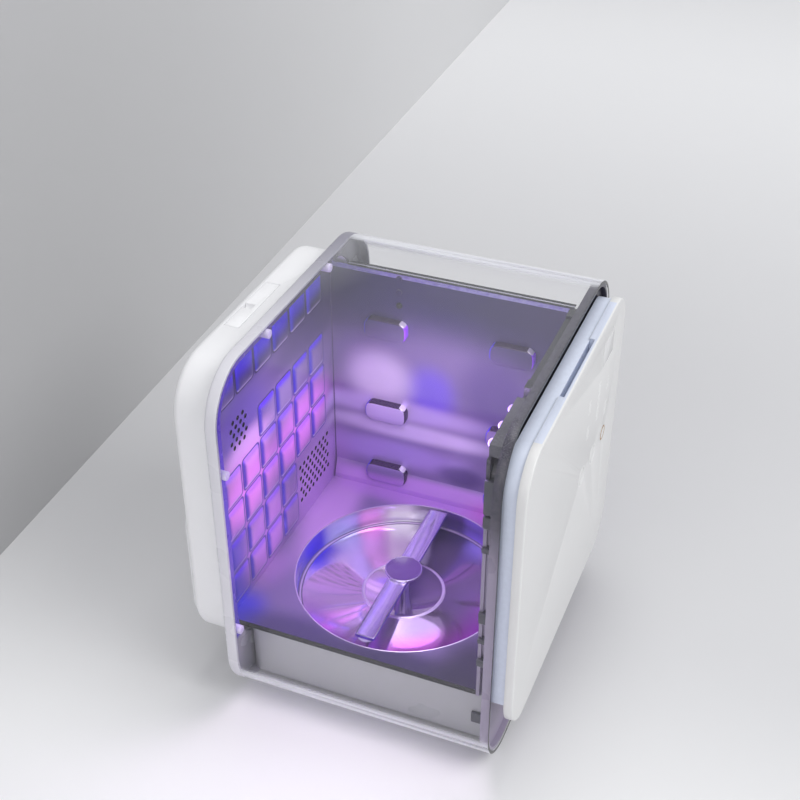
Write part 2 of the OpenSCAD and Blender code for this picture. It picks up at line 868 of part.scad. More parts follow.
module hub_post() {
    color([0.8, 0.8, 0.85]) difference() {
        rod_z(z_basin, z_bar - post_gap, 0, post_y, post_r);
        rod_z(z_basin - cut, z_bar + cut, 0, post_y, bushing_r + run_gap);
    }
}

module post_bushing() {
    color([0.75, 0.6, 0.3]) difference() {
        rod_z(z_basin, z_bar - post_gap, 0, post_y, bushing_r);
        rod_z(z_basin - cut, z_bar + cut, 0, post_y, shaft_r + run_gap);
    }
}

module drive_motor() {
    color([0.5, 0.5, 0.53]) difference() {
        rod_z(z_basin - sheet_t - motor_h, z_basin - sheet_t, 0, post_y, motor_r);
        rod_z(shaft_low - fit_gap, z_basin, 0, post_y, shaft_r + run_gap);
    }
}

module drive_shaft() {
    color([0.78, 0.78, 0.8]) rod_z(shaft_low, z_bar, 0, post_y, shaft_r);
}

// The mirror-bright bar that turns on the post, its cap and the pads under its ends
cap_h = 2;
pad_h = 1.5;
pad_out = 2.5;

module reflector_bar() {
    color([0.8, 0.78, 0.9])
        box(-bar_len / 2, bar_len / 2, post_y - bar_w / 2, post_y + bar_w / 2, z_bar,
            z_bar + bar_t);
}

module hub_cap() {
    color([0.4, 0.35, 0.55]) rod_z(z_bar + bar_t, z_bar + bar_t + cap_h, 0, post_y, cap_r);
}

module bar_pads() {
    color([0.75, 0.7, 0.85]) for (s = [-1, 1])
        rod_z(z_bar - pad_h, z_bar, s * (bar_len / 2 + pad_out - pad_r), post_y, pad_r);
}

// The hot-air unit behind the lower vent: heater, fan housing and impeller
fan_shift = 5;
fan_x = vent_b_x - fan_shift;
z_fan = z_vent_b;
heater_wall = 1.5;
fins = 11;
y_fan = y_wall + heater_d;
stator_t = 3;
axle_r = 1.5;
blade_t = 1.2;
blade_w = 7.2;
blade_gap = 2.5;
blade_tilt = 35;
strut_w = 4;
housing_r = 5;
fin_t = 1;

module heater_block() {
    heater_h = fan_side * 0.72;
    color([0.72, 0.72, 0.74]) {
        difference() {
            box(fan_x - fan_side / 2, fan_x + fan_side / 2, y_wall, y_fan,
                z_fan - heater_h / 2, z_fan + heater_h / 2);
            box(fan_x - fan_side / 2 + heater_wall, fan_x + fan_side / 2 - heater_wall,
                y_wall - cut, y_fan + cut, z_fan - heater_h / 2 + heater_wall,
                z_fan + heater_h / 2 - heater_wall);
        }
        for (i = [1 : fins])
            box(fan_x - fan_side / 2 + i * fan_side / (fins + 1) - fin_t / 2,
                fan_x - fan_side / 2 + i * fan_side / (fins + 1) + fin_t / 2, y_wall + cut,
                y_fan - cut, z_fan - heater_h / 2, z_fan + heater_h / 2);
    }
}

module fan_housing() {
    color([0.14, 0.14, 0.16]) translate([fan_x, 0, z_fan]) difference() {
        union() {
            difference() {
                along_y(y_fan, y_fan + fan_d) rrect(-fan_side / 2, fan_side / 2,
                    -fan_side / 2, fan_side / 2, housing_r);
                rod_y(y_fan - cut, y_fan + fan_d + cut, 0, 0, fan_r);
            }
            rod_y(y_fan + fan_d - stator_t, y_fan + fan_d, 0, 0, fan_hub_r);
            for (a = [30, 150, 270]) rotate([0, a, 0])
                box(-strut_w / 2, strut_w / 2, y_fan + fan_d - stator_t, y_fan + fan_d, 0, fan_r + cut);
        }
        rod_y(y_fan, y_fan + fan_d + cut, 0, 0, axle_r + run_gap);
    }
}

module fan_impeller() {
    color([0.2, 0.2, 0.23]) translate([fan_x, 0, z_fan]) {
        rod_y(y_fan + cut, y_fan + fan_d - stator_t - fit_gap, 0, 0, fan_hub_r);
        rod_y(y_fan + cut, y_fan + fan_d - fit_gap, 0, 0, axle_r);
        for (i = [0 : fan_blades - 1]) rotate([0, i * 360 / fan_blades, 0])
            translate([0, y_fan + fan_d / 2 - cut, 0]) rotate([0, 0, blade_tilt])
                box(-blade_w / 2, blade_w / 2, -blade_t / 2, blade_t / 2, fan_hub_r - cut,
                    fan_r - blade_gap);
    }
}

// The air filter: a guide on the back wall, a tray that lifts out of the top and its pad
guide_t = 1.2;
z_tray = z_bulge_top - tray_h;
guide_gap = 0.4;
guide_rail = 8;
guide_foot = 6;
guide_head = 14;

module filter_guide() {
    gx = tray_w / 2 + guide_gap;
    color([0.86, 0.86, 0.88]) translate([tray_x, 0, 0]) difference() {
        box(-gx - guide_t, gx + guide_t, y_wall, tray_y1 + guide_gap + guide_t,
            z_tray - guide_gap - guide_t, z_bulge_top - cover_wall - fit_gap);
        box(-gx, gx, tray_y0 - guide_gap, tray_y1 + guide_gap, z_tray - guide_gap,
            z_bulge_top);
        box(-gx + guide_rail, gx - guide_rail, y_wall - cut, y_rear, z_tray + guide_foot,
            z_bulge_top - guide_head);
    }
}

tray_rim = 5;
pad_inset = 3;
notch_r = 4;
notch_shift = 4;

module filter_tray() {
    color([0.93, 0.93, 0.94]) translate([tray_x, 0, 0]) difference() {
        box(-tray_w / 2, tray_w / 2, tray_y0, tray_y1, z_tray, z_bulge_top);
        box(-tray_w / 2 + tray_rim, tray_w / 2 - tray_rim, tray_y0 - cut, tray_y1 + cut,
            z_tray + tray_rim, z_bulge_top - 2 * tray_rim);
        rod_y(tray_y0 + notch_r, tray_y1 + cut, -notch_shift, z_bulge_top, notch_r);
    }
}

module filter_pad() {
    color([0.85, 0.88, 0.92]) translate([tray_x, 0, 0])
        box(-tray_w / 2 + tray_rim, tray_w / 2 - tray_rim, tray_y0 + pad_inset,
            tray_y1 - pad_inset, z_tray + tray_rim, z_bulge_top - 2 * tray_rim);
}

// The power board on its posts in the base box, and the mains inlet in the rear cover
board_side = 15.5;
board_front = 58.5;
board_w = 66;
board_len = 110;
board_t = 1.6;
board_x0 = -base_x + board_side;
board_x1 = board_x0 + board_w;
board_y0 = base_y0 + board_front;
board_y1 = board_y0 + board_len;
z_board = z_base_floor + board_post_h;
z_parts = z_board + board_t;
post_inset = 6;
board_post_r = 3;
part_in = 8;
coil_w = 30;
coil_len = 28;
can_r = 7;
can_pitch = 22;
plate_w = 4;
plate_len = 38;
part_gap = 2.8;
part_step = 2;
z_coil = z_basin - sheet_t - part_gap;
z_can = z_coil - part_step;
z_plate = z_can - part_step;

module power_board() {
    color([0.1, 0.4, 0.25]) box(board_x0, board_x1, board_y0, board_y1, z_board, z_parts);
    color([0.85, 0.7, 0.2]) box(board_x0 + part_in, board_x0 + part_in + coil_w,
        board_y0 + part_in, board_y0 + part_in + coil_len, z_parts - sink_in, z_coil);
    color([0.15, 0.15, 0.2]) for (i = [0 : 2])
        rod_z(z_parts - sink_in, z_can, board_x1 - part_in - can_r,
            board_y0 + part_in + can_r + i * can_pitch, can_r);
    color([0.7, 0.7, 0.72]) box(board_x0 + part_in, board_x0 + part_in + plate_w,
        board_y1 - part_in - plate_len, board_y1 - part_in, z_parts - sink_in, z_plate);
}

module board_posts() {
    color([0.8, 0.68, 0.35])
        for (x = [board_x0 + post_inset, board_x1 - post_inset],
             y = [board_y0 + post_inset, board_y1 - post_inset])
            rod_z(z_base_floor, z_board, x, y, board_post_r);
}

inlet_wall = 3;
socket_d = 17;
contact_r = 1.1;
contact_pitch = 8;
contact_set = 6;

module power_inlet() {
    color([0.12, 0.12, 0.13]) difference() {
        box(inlet_x - inlet_w / 2, inlet_x + inlet_w / 2, y_wall + fit_gap, y_grille - cut,
            z_inlet - inlet_h / 2, z_inlet + inlet_h / 2);
        box(inlet_x - inlet_w / 2 + inlet_wall, inlet_x + inlet_w / 2 - inlet_wall,
            y_grille - socket_d, y_grille, z_inlet - inlet_h / 2 + inlet_wall,
            z_inlet + inlet_h / 2 - inlet_wall);
    }
    color([0.8, 0.8, 0.82]) for (s = [-1, 1])
        rod_y(y_grille - socket_d - sink_in, y_grille - contact_set,
            inlet_x + s * contact_pitch / 2, z_inlet, contact_r);
}

// Four rubber feet under the wrap
module feet() {
    color([0.2, 0.2, 0.21]) for (x = [-foot_x, foot_x], y = [y_wrap + foot_in, y_rim - foot_in])
        rod_z(0, foot_h, x, y, foot_r);
}

// The door: a white slab open to the back, closed by a liner that enters the wrap
slab_gap = 0.2;
slab_in = door_wall + slab_gap;
flange_t = 1.8;
key_gap = 0.3;
window_gap = 0.1;
grip_gap = 0.01;
window_shift = 6;
window_x = key_x + key_pitch / 2 + window_shift;
panel_in = 9;
panel_edge = 14;
panel_side = 8.5;
panel_cap = 0.5;
panel_post_r = 3;
panel_post_in = 3.5;
panel_x0 = key_x - key_pitch - panel_in;
panel_x1 = window_x + window_w / 2 + panel_side;
panel_x2 = window_x - window_w / 2 - panel_side;
z_panel0 = z_keys - panel_edge;
z_panel1 = z_keys + panel_edge;
z_panel2 = z_window + window_h / 2 + panel_cap;
switch_gap = key_travel + slab_gap;
y_flange_in = y_slab - flange_t;
y_front_in = y_door + door_wall;
key_flange_t = 1;
key_flange_w = 1.5;
stem_len = 2.5;
stem_r = 1.6;
y_stem = y_front_in + key_flange_t + stem_len;
y_switch = y_stem + switch_gap;
switch_t = 3;
switch_side = 6;
nub_h = 0.5;
nub_r = 1.7;
y_pcb = y_switch + switch_t;
pcb_t = 1.6;

module slab_outline(inset) {
    rrect(-door_x + inset, door_x - inset, z_door + inset, z_door_top - inset, door_r - inset);
}

module key_places() {
    for (i = [-1, 0, 1]) translate([key_x + i * key_pitch, 0, z_keys]) children();
}

module window_place() {
    translate([window_x, 0, z_window]) children();
}

module door_slab() {
    color([0.95, 0.95, 0.96]) difference() {
        union() {
            along_y(y_door, y_front_in) slab_outline(0);
            along_y(y_door, y_slab) difference() {
                slab_outline(0);
                slab_outline(door_wall);
            }
            box(-grip_w / 2 - door_wall, grip_w / 2 + door_wall, y_door, y_slab,
                z_door_top - grip_h - door_wall, z_door_top);
            panel_corners() rod_y(y_door + cut, y_pcb, 0, 0, panel_post_r);
        }
        box(-grip_w / 2, grip_w / 2, y_slab - grip_d, y_slab + cut, z_door_top - grip_h,
            z_door_top + cut);
        key_places() rod_y(y_door - cut, y_front_in + cut, 0, 0, key_r + key_gap);
        window_place() box(-window_w / 2 - window_gap, window_w / 2 + window_gap,
            y_door - cut, y_front_in + cut, -window_h / 2 - window_gap,
            window_h / 2 + window_gap);
    }
}

module panel_corners() {
    for (p = [[panel_x0 + panel_post_in, z_panel0 + panel_post_in],
              [panel_x1 - panel_post_in, z_panel0 + panel_post_in],
              [panel_x2 + panel_post_in, z_panel2 - panel_post_in],
              [panel_x1 - panel_post_in, z_panel2 - panel_post_in]])
        translate([p[0], 0, p[1]]) children();
}

module band_outline(inset) {
    r = door_r - band_in - inset;
    z1 = z_door_top - band_in - inset;
    translate([-band_x + inset, z_band + inset])
        square([2 * (band_x - inset), z1 - z_band - inset - r]);
    rrect(-band_x + inset, band_x - inset, z1 - 3 * r, z1, r);
}

module door_liner() {
    color([0.82, 0.85, 0.92]) difference() {
        union() {
            along_y(y_flange_in, y_slab) slab_outline(slab_in);
            along_y(y_slab, y_band) band_outline(0);
        }
        along_y(y_flange_in - cut, y_band - door_wall) band_outline(door_wall + flange_in);
        box(-grip_w / 2 - slab_in, grip_w / 2 + slab_in, y_flange_in - cut,
            y_slab + grip_gap, z_door_top - grip_h - slab_in, z_door_top);
    }
    color([0.82, 0.85, 0.92]) box(-grip_w / 2 - door_wall, grip_w / 2 + door_wall,
        y_slab + grip_gap, y_slab + door_wall, z_door_top - grip_h - 2 * door_wall,
        z_door_top - band_in - flange_in);
}

module display_window() {
    color([0.9, 0.91, 0.93]) window_place()
        box(-window_w / 2, window_w / 2, y_door, y_front_in, -window_h / 2, window_h / 2);
}

module control_board() {
    color([0.1, 0.4, 0.25]) {
        box(panel_x0, panel_x1, y_pcb, y_pcb + pcb_t, z_panel0, z_panel1);
        box(panel_x2, panel_x1, y_pcb, y_pcb + pcb_t, z_keys, z_panel2);
    }
    color([0.1, 0.1, 0.12]) window_place()
        box(-window_w / 2 + cut, window_w / 2 - cut, y_front_in + fit_gap, y_pcb + sink_in,
            -window_h / 2 + cut, window_h / 2 - cut);
}

module key_switches() {
    color([0.15, 0.15, 0.17]) key_places() {
        box(-switch_side / 2, switch_side / 2, y_switch + nub_h, y_pcb, -switch_side / 2,
            switch_side / 2);
        rod_y(y_switch, y_switch + 2 * nub_h, 0, 0, nub_r);
    }
}

module key(place) {
    translate([key_x + place * key_pitch, 0, z_keys]) {
        rod_y(y_door, y_front_in + fit_gap, 0, 0, key_r);
        rod_y(y_front_in + run_gap, y_front_in + key_flange_t, 0, 0, key_r + key_flange_w);
        rod_y(y_front_in, y_stem, 0, 0, stem_r);
    }
}

module start_button() {
    color([0.9, 0.9, 0.92]) key(-1);
}

module mode_button() {
    color([0.9, 0.9, 0.92]) key(0);
}

module power_button() {
    color([0.75, 0.62, 0.4]) key(1);
}

outer_wrap();
rear_rim();
rear_cover();
rear_grille();
locating_pegs();
cover_screws();
front_frame();
frame_clips();
top_ledge();
door_seal();
hinge_brackets();
hinge_pins();
frame_magnets();
door_switch();
switch_plunger();
uv_lamp_bar();
uv_lenses();
liner_side_wall();
liner_back_wall();
floor_pan();
wall_rivets();
temp_sensor();
base_box();
hub_post();
post_bushing();
drive_motor();
drive_shaft();
reflector_bar();
hub_cap();
bar_pads();
fan_housing();
fan_impeller();
heater_block();
filter_guide();
filter_tray();
filter_pad();
power_board();
board_posts();
power_inlet();
feet();
door_slab();
door_liner();
display_window();
control_board();
key_switches();
power_button();
mode_button();
start_button();
hinge_lugs();
door_magnets();
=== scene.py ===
import math

import bmesh
import bpy
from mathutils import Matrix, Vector


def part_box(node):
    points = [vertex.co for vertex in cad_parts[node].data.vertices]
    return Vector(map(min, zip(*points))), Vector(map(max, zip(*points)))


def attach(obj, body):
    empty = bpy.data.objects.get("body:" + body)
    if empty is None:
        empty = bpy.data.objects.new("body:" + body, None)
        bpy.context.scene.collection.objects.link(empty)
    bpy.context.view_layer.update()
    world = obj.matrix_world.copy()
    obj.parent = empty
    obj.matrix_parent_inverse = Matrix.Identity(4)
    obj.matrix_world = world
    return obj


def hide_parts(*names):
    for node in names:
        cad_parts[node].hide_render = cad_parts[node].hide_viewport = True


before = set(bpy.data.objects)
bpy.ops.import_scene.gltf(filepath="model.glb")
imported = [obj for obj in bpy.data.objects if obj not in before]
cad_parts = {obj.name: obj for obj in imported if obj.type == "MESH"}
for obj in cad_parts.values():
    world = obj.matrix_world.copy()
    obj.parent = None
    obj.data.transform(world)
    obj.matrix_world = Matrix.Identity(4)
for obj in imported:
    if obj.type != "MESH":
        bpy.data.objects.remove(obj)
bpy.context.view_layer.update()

# The uv steriliser in metres, as the frame has it: X runs across the door, +Y from the door to
# the rear, +Z up. Lengths below are written in millimetres and turned into metres by MM.
MM = 0.001
X, Y, Z = 0, 1, 2


def mm(*lengths):
    """A point or a size, given in millimetres."""
    return Vector(lengths) * MM


# ---- Places taken from the frame ----

case_low, case_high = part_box("outer_wrap")
rim_low, rim_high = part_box("rear_rim")
cover_low, cover_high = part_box("rear_cover")
slab_low, slab_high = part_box("door_slab")
side_low, side_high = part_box("liner_side_wall")
back_low, back_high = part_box("liner_back_wall")
pan_low, pan_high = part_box("floor_pan")
post_low, post_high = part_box("hub_post")
bar_low, bar_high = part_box("reflector_bar")
tray_low, tray_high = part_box("filter_tray")
pad_low, pad_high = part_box("filter_pad")
inlet_low, inlet_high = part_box("power_inlet")
window_low, window_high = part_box("display_window")

CASE_RADIUS = 49 * MM
WRAP_WALL = 3 * MM
SHEET = 0.8 * MM
y_rim = case_high.y
y_bulge = rim_high.y
y_back = back_high.y - SHEET
z_floor = 61.5 * MM
z_liner = side_high.z
x_liner = pan_high.x
post = (post_low + post_high) / 2


# ---- Modelling helpers ----

def new_object(name, data):
    """An object for this data, in the scene."""
    made = bpy.data.objects.new(name, data)
    bpy.context.scene.collection.objects.link(made)
    return made


def activate(piece):
    """Makes this piece the only one selected."""
    bpy.ops.object.select_all(action="DESELECT")
    piece.select_set(True)
    bpy.context.view_layer.objects.active = piece


def start_edit(piece):
    """Goes into edit mode on this piece, with nothing selected."""
    activate(piece)
    bpy.ops.object.mode_set(mode="EDIT")
    bpy.ops.mesh.select_all(action="DESELECT")


def end_edit():
    bpy.ops.object.mode_set(mode="OBJECT")


def pick_faces(wanted):
    """Selects the faces that pass the test: where their middle is at, and the way out."""
    bpy.ops.mesh.select_mode(type="FACE")
    bpy.ops.mesh.select_all(action="DESELECT")
    data = bpy.context.edit_object.data
    mesh = bmesh.from_edit_mesh(data)
    for face in mesh.faces:
        face.select_set(bool(wanted(face.calc_center_median(), face.normal)))
    bmesh.update_edit_mesh(data)


def pick_edges(wanted):
    """Selects the edges that pass the test: where their middle is at, and their way."""
    bpy.ops.mesh.select_mode(type="EDGE")
    bpy.ops.mesh.select_all(action="DESELECT")
    data = bpy.context.edit_object.data
    mesh = bmesh.from_edit_mesh(data)
    for edge in mesh.edges:
        first, last = edge.verts[0].co, edge.verts[1].co
        edge.select_set(bool(wanted((first + last) / 2, (last - first).normalized())))
    bmesh.update_edit_mesh(data)


def move_on(shift):
    """Extrudes what is selected by this shift."""
    bpy.ops.mesh.extrude_region_move(TRANSFORM_OT_translate={"value": tuple(shift)})


def move(shift):
    bpy.ops.transform.translate(value=shift)


def resize(shares, middle):
    """Scales what is selected by these shares about this point."""
    bpy.ops.transform.resize(value=shares, center_override=middle)


def bevel(width, segments):
    """Rounds the selected edges; the width is in mm."""
    bpy.ops.mesh.bevel(offset=width * MM, segments=segments, affect="EDGES")


def inset(*rings):
    """Draws the selected faces in, ring by ring; each goes this far in and down, in mm."""
    for inward, down in rings:
        bpy.ops.mesh.inset(thickness=inward * MM, depth=-down * MM)


def slice_across(axis, *places):
    """Cuts the whole mesh through, across one axis at each of these places."""
    across = Vector([float(way == axis) for way in (X, Y, Z)])
    for place in places:
        bpy.ops.mesh.select_all(action="SELECT")
        bpy.ops.mesh.bisect(plane_co=across * place, plane_no=across)


def rename(piece, name):
    piece.name = piece.data.name = name
    return piece


def settle():
    """Applies the active piece's place, turn and scale to its mesh."""
    bpy.ops.object.transform_apply(location=True, rotation=True, scale=True)


def primitive(name, operator, **settings):
    """A new piece that this operator adds."""
    bpy.ops.object.select_all(action="DESELECT")
    operator(**settings)
    return rename(bpy.context.active_object, name)


def block(name, low, high):
    """A cube between two corners, with its place in its mesh."""
    low, high = Vector(low), Vector(high)
    piece = primitive(name, bpy.ops.mesh.primitive_cube_add, size=1, location=(low + high) / 2)
    piece.scale = high - low
    settle()
    return piece


def rounded_block(name, low, high, along, radius, segments=14):
    """A block whose four edges along one axis are rounded."""
    piece = block(name, low, high)
    start_edit(piece)
    pick_edges(lambda at, way: abs(way[along]) > 0.9)
    bevel(radius / MM, segments)
    end_edit()
    return piece


def rod(name, start, end, radius, sides=32, tip=None):
    """A round rod from start to end, both on one line along X, Y or Z; tip is its end radius."""
    start, end = Vector(start), Vector(end)
    way = end - start
    piece = primitive(name, bpy.ops.mesh.primitive_cone_add, vertices=sides, radius1=radius,
        radius2=radius if tip is None else tip, depth=way.length,
        location=(start + end) / 2, rotation=way.to_track_quat("Z", "Y").to_euler())
    settle()
    return piece


def apply_modifier(piece, kind, **settings):
    """Gives the piece a modifier with these settings and applies it."""
    activate(piece)
    modifier = piece.modifiers.new(kind.title(), kind)
    for name, value in settings.items():
        setattr(modifier, name, value)
    bpy.ops.object.modifier_apply(modifier=modifier.name)


def join(piece, *others):
    """Joins the others into the piece."""
    activate(piece)
    for other in others:
        other.select_set(True)
    bpy.ops.object.join()
    return piece


def cut_out(piece, *cutters):
    """Cuts the cutters out of the piece and removes them."""
    tool = join(*cutters) if len(cutters) > 1 else cutters[0]
    apply_modifier(piece, "BOOLEAN", object=tool, operation="DIFFERENCE", solver="EXACT",
        use_self=len(cutters) > 1)
    bpy.data.objects.remove(tool)


def ease_edges(piece, width, segments=2, angle=30):
    """Rounds every sharp edge a little."""
    apply_modifier(piece, "BEVEL", width=width, segments=segments, limit_method="ANGLE",
        angle_limit=math.radians(angle), miter_outer="MITER_ARC", use_clamp_overlap=True)


def copy_of_node(name, node):
    """A copy of a CAD node's mesh, its doubles merged and its flat faces made whole."""
    piece = rename(new_object(name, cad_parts[node].data.copy()), name)
    start_edit(piece)
    bpy.ops.mesh.select_mode(type="VERT")
    bpy.ops.mesh.select_all(action="SELECT")
    bpy.ops.mesh.remove_doubles(threshold=0.000004)
    bpy.ops.mesh.customdata_custom_splitnormals_clear()
    bpy.ops.mesh.dissolve_limited(angle_limit=math.radians(0.6))
    end_edit()
    piece.data.materials.clear()
    return piece


def eased_node(name, node, width=0.4 * MM, segments=2, angle=30):
    """A copy of a CAD node with every sharp edge eased."""
    piece = copy_of_node(name, node)
    ease_edges(piece, width, segments, angle)
    return piece


def dress(piece, finishes, nodes=(), body="cabinet", angle=35):
    """Shades a finished piece smooth, except where faces meet at more than this angle, gives it its
    materials and its body, and hides the nodes it stands for."""
    activate(piece)
    bpy.ops.object.shade_smooth_by_angle(angle=math.radians(angle))
    finishes = finishes if isinstance(finishes, (list, tuple)) else [finishes]
    numbers = [face.material_index for face in piece.data.polygons]
    piece.data.materials.clear()
    for finish in finishes:
        piece.data.materials.append(finish)
    for face, number in zip(piece.data.polygons, numbers):
        face.material_index = min(number, len(finishes) - 1)
    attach(piece, body)
    if nodes:
        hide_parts(*nodes)


def give_faces(piece, number, wanted):
    """Gives the faces whose middle and normal pass the test this material slot."""
    for face in piece.data.polygons:
        if wanted(face.center, face.normal):
            face.material_index = number


# ---- Material helpers ----

def colour(red, green, blue):
    """A colour from its 0 to 255 screen values."""
    def linear(level):
        level = level / 255
        return level / 12.92 if level <= 0.04045 else ((level + 0.055) / 1.055) ** 2.4
    return (linear(red), linear(green), linear(blue), 1)


def add(tree, kind, settings=None, sockets=None):
    """Adds a shader node, sets it up, and links or fills its sockets by name or number."""
    new = tree.nodes.new("ShaderNode" + kind)
    for name, value in (settings or {}).items():
        setattr(new, name, value)
    for name, value in (sockets or {}).items():
        if isinstance(value, bpy.types.NodeSocket):
            tree.links.new(value, new.inputs[name])
        else:
            new.inputs[name].default_value = value
    return new


def feed(node, name, value):
    """Links a value to this socket of a node."""
    node.id_data.links.new(value, node.inputs[name])


def place_in(tree):
    """Where a point lies on the object."""
    return add(tree, "TexCoord").outputs["Object"]


def axes(tree, vector):
    """The three outputs of a vector, by X, Y and Z."""
    return add(tree, "SeparateXYZ", None, {0: vector}).outputs


def noise(tree, place, scale, detail, roughness=0.5):
    return add(tree, "TexNoise", None, {"Vector": place, "Scale": scale, "Detail": detail,
        "Roughness": roughness}).outputs[0]


def vector_maths(tree, operation, first, *second):
    return add(tree, "VectorMath", {"operation": operation},
        dict(enumerate((first, *second)))).outputs


def maths(tree, operation, first, second=0.5, clamp=False):
    return add(tree, "Math", {"operation": operation, "use_clamp": clamp},
        {0: first, 1: second}).outputs[0]


def mixed(tree, share, first, second, blend="MIX"):
    return add(tree, "Mix", {"data_type": "RGBA", "blend_type": blend},
        {0: share, 6: first, 7: second}).outputs[2]


def span(tree, value, low, high, to_low=0.0, to_high=1.0, steps="LINEAR"):
    """The value, spread from low..high to to_low..to_high."""
    return add(tree, "MapRange", {"interpolation_type": steps},
        {0: value, 1: low, 2: high, 3: to_low, 4: to_high}).outputs[0]


def faded(tree, surface, painted_fades):
    """The surface's colour with its painted fades of light and shade: each has an axis, where it
    begins and ends along it in mm, and the colour it goes to."""
    for axis, start, end, other in painted_fades:
        place = axes(tree, place_in(tree))[axis]
        surface = mixed(tree, span(tree, place, start * MM, end * MM, steps="SMOOTHSTEP"),
            surface, colour(*other))
    return surface


def new_group(name, inputs, outputs):
    """A node group with these named sockets; returns the group, its input and its output node."""
    group = bpy.data.node_groups.new(name, "ShaderNodeTree")
    for socket, kind, value in inputs:
        made = group.interface.new_socket(name=socket, in_out="INPUT", socket_type=kind)
        made.default_value = value
    for socket, kind in outputs:
        group.interface.new_socket(name=socket, in_out="OUTPUT", socket_type=kind)
    return group, group.nodes.new("NodeGroupInput"), group.nodes.new("NodeGroupOutput")


def use_group(tree, group, **sockets):
    """Places a node group; the words of a socket's name are joined by underscores."""
    placed = tree.nodes.new("ShaderNodeGroup")
    placed.node_tree = group
    for name, value in sockets.items():
        socket = placed.inputs[name.replace("_", " ")]
        if isinstance(value, bpy.types.NodeSocket):
            tree.links.new(value, socket)
        else:
            socket.default_value = value
    return placed.outputs


def make_grain():
    """Fine moulded grain and soft clouds of tone."""
    group, given, out = new_group("Moulded grain",
        [("Grain Size", "NodeSocketFloat", 0.5), ("Cloud Size", "NodeSocketFloat", 40.0)],
        [("Height", "NodeSocketFloat"), ("Tone", "NodeSocketFloat")])
    place = place_in(group)
    # A size in mm gives this scale
    fine, wide = (maths(group, "DIVIDE", 1000.0, size) for size in given.outputs[:2])
    feed(out, "Height", noise(group, place, fine, 4.0, 0.6))
    feed(out, "Tone", noise(group, place, wide, 3.0))
    return group


def make_brushing():
    """Fine parallel scratches of a brushed sheet; Along is small on the axis they run along."""
    group, given, out = new_group("Brushed sheet",
        [("Along", "NodeSocketVector", (1.0, 1.0, 1.0))],
        [("Height", "NodeSocketFloat"), ("Tone", "NodeSocketFloat")])
    place = place_in(group)
    pulled = vector_maths(group, "MULTIPLY", place, given.outputs[0])[0]
    fine = noise(group, pulled, 620.0, 4.0, 0.6)
    feed(out, "Height", fine)
    feed(out, "Tone", maths(group, "ADD", maths(group, "MULTIPLY", fine, 0.25),
        maths(group, "MULTIPLY", noise(group, place, 9.0, 1.0), 0.75)))
    return group


def make_wear():
    """A mask of rubbed edges, broken up, and a mask of fine dust on faces that look up."""
    group, given, out = new_group("Wear and dust",
        [("Edge", "NodeSocketFloat", 0.5), ("Dust", "NodeSocketFloat", 0.3)],
        [("Worn", "NodeSocketFloat"), ("Dusty", "NodeSocketFloat")])
    place = place_in(group)
    sharp = span(group, add(group, "NewGeometry").outputs["Pointiness"], 0.52, 0.6)
    rubbed = maths(group, "MULTIPLY", sharp, span(group, noise(group, place, 220.0, 4.0),
        0.35, 0.65))
    feed(out, "Worn", maths(group, "MULTIPLY", rubbed, given.outputs[0]))
    up = axes(group, add(group, "TexCoord").outputs["Normal"])[Z]
    settled = maths(group, "MULTIPLY", span(group, up, 0.3, 1.0),
        span(group, noise(group, place, 900.0, 6.0), 0.5, 0.75))
    feed(out, "Dusty", maths(group, "MULTIPLY", settled, given.outputs[1]))
    return group


# Painted light and shade of the violet lamps on the cavity's steel, patch by patch: centre and
# reach in mm, the painted colour and its strength.
# The far wall is at x 116, the back wall at y 121 and the floor at z 61.
PAINTED_LIGHT_PATCHES = [
    ((116, 95, 290), (50, 70, 64), (42, 34, 82), 0.92),
    ((116, 10, 300), (50, 100, 60), (40, 28, 92), 0.92),
    ((116, -80, 280), (50, 80, 60), (56, 46, 92), 0.9),
    ((116, 20, 185), (40, 30, 34), (122, 90, 226), 0.8),
    ((116, 72, 190), (40, 38, 36), (222, 204, 238), 0.9),
    ((116, -45, 200), (40, 40, 50), (96, 72, 140), 0.85),
    ((116, 60, 158), (40, 120, 14), (206, 184, 236), 0.8),
    ((116, 40, 135), (40, 110, 12), (222, 204, 242), 0.85),
    ((116, 60, 105), (40, 90, 18), (176, 150, 220), 0.85),
    ((116, -15, 95), (40, 28, 14), (84, 62, 124), 0.8),
    ((116, 0, 72), (30, 150, 10), (190, 132, 224), 0.8),
    ((-88, 121, 285), (30, 30, 26), (140, 130, 178), 0.85),
    ((-20, 121, 294), (90, 30, 22), (76, 64, 122), 0.9),
    ((70, 121, 290), (60, 30, 34), (66, 60, 98), 0.9),
    ((-70, 121, 250), (60, 30, 34), (112, 92, 178), 0.85),
    ((60, 121, 262), (80, 30, 26), (78, 64, 112), 0.9),
    ((10, 121, 225), (40, 30, 24), (158, 140, 190), 0.8),
    ((-60, 121, 215), (50, 30, 20), (236, 186, 246), 0.85),
    ((-70, 121, 175), (60, 30, 40), (250, 156, 250), 0.95),
    ((40, 121, 175), (70, 30, 36), (242, 150, 248), 0.92),
    ((-100, 121, 105), (26, 30, 50), (88, 66, 196), 0.85),
    ((-40, 121, 105), (50, 30, 50), (216, 150, 238), 0.9),
    ((70, 121, 95), (60, 30, 50), (196, 150, 224), 0.8),
    ((-110, 121, 64), (40, 30, 14), (66, 46, 232), 0.9),
    ((-112, 60, 61), (30, 70, 20), (72, 60, 112), 0.9),
    ((-112, -40, 61), (26, 70, 20), (54, 46, 86), 0.9),
    ((-100, -100, 61), (60, 40, 20), (52, 46, 72), 0.9),
    ((60, 100, 61), (90, 26, 20), (206, 160, 230), 0.85),
    ((108, 20, 61), (20, 110, 20), (190, 140, 222), 0.85),
    ((108, -70, 61), (22, 50, 20), (190, 110, 200), 0.85),
]


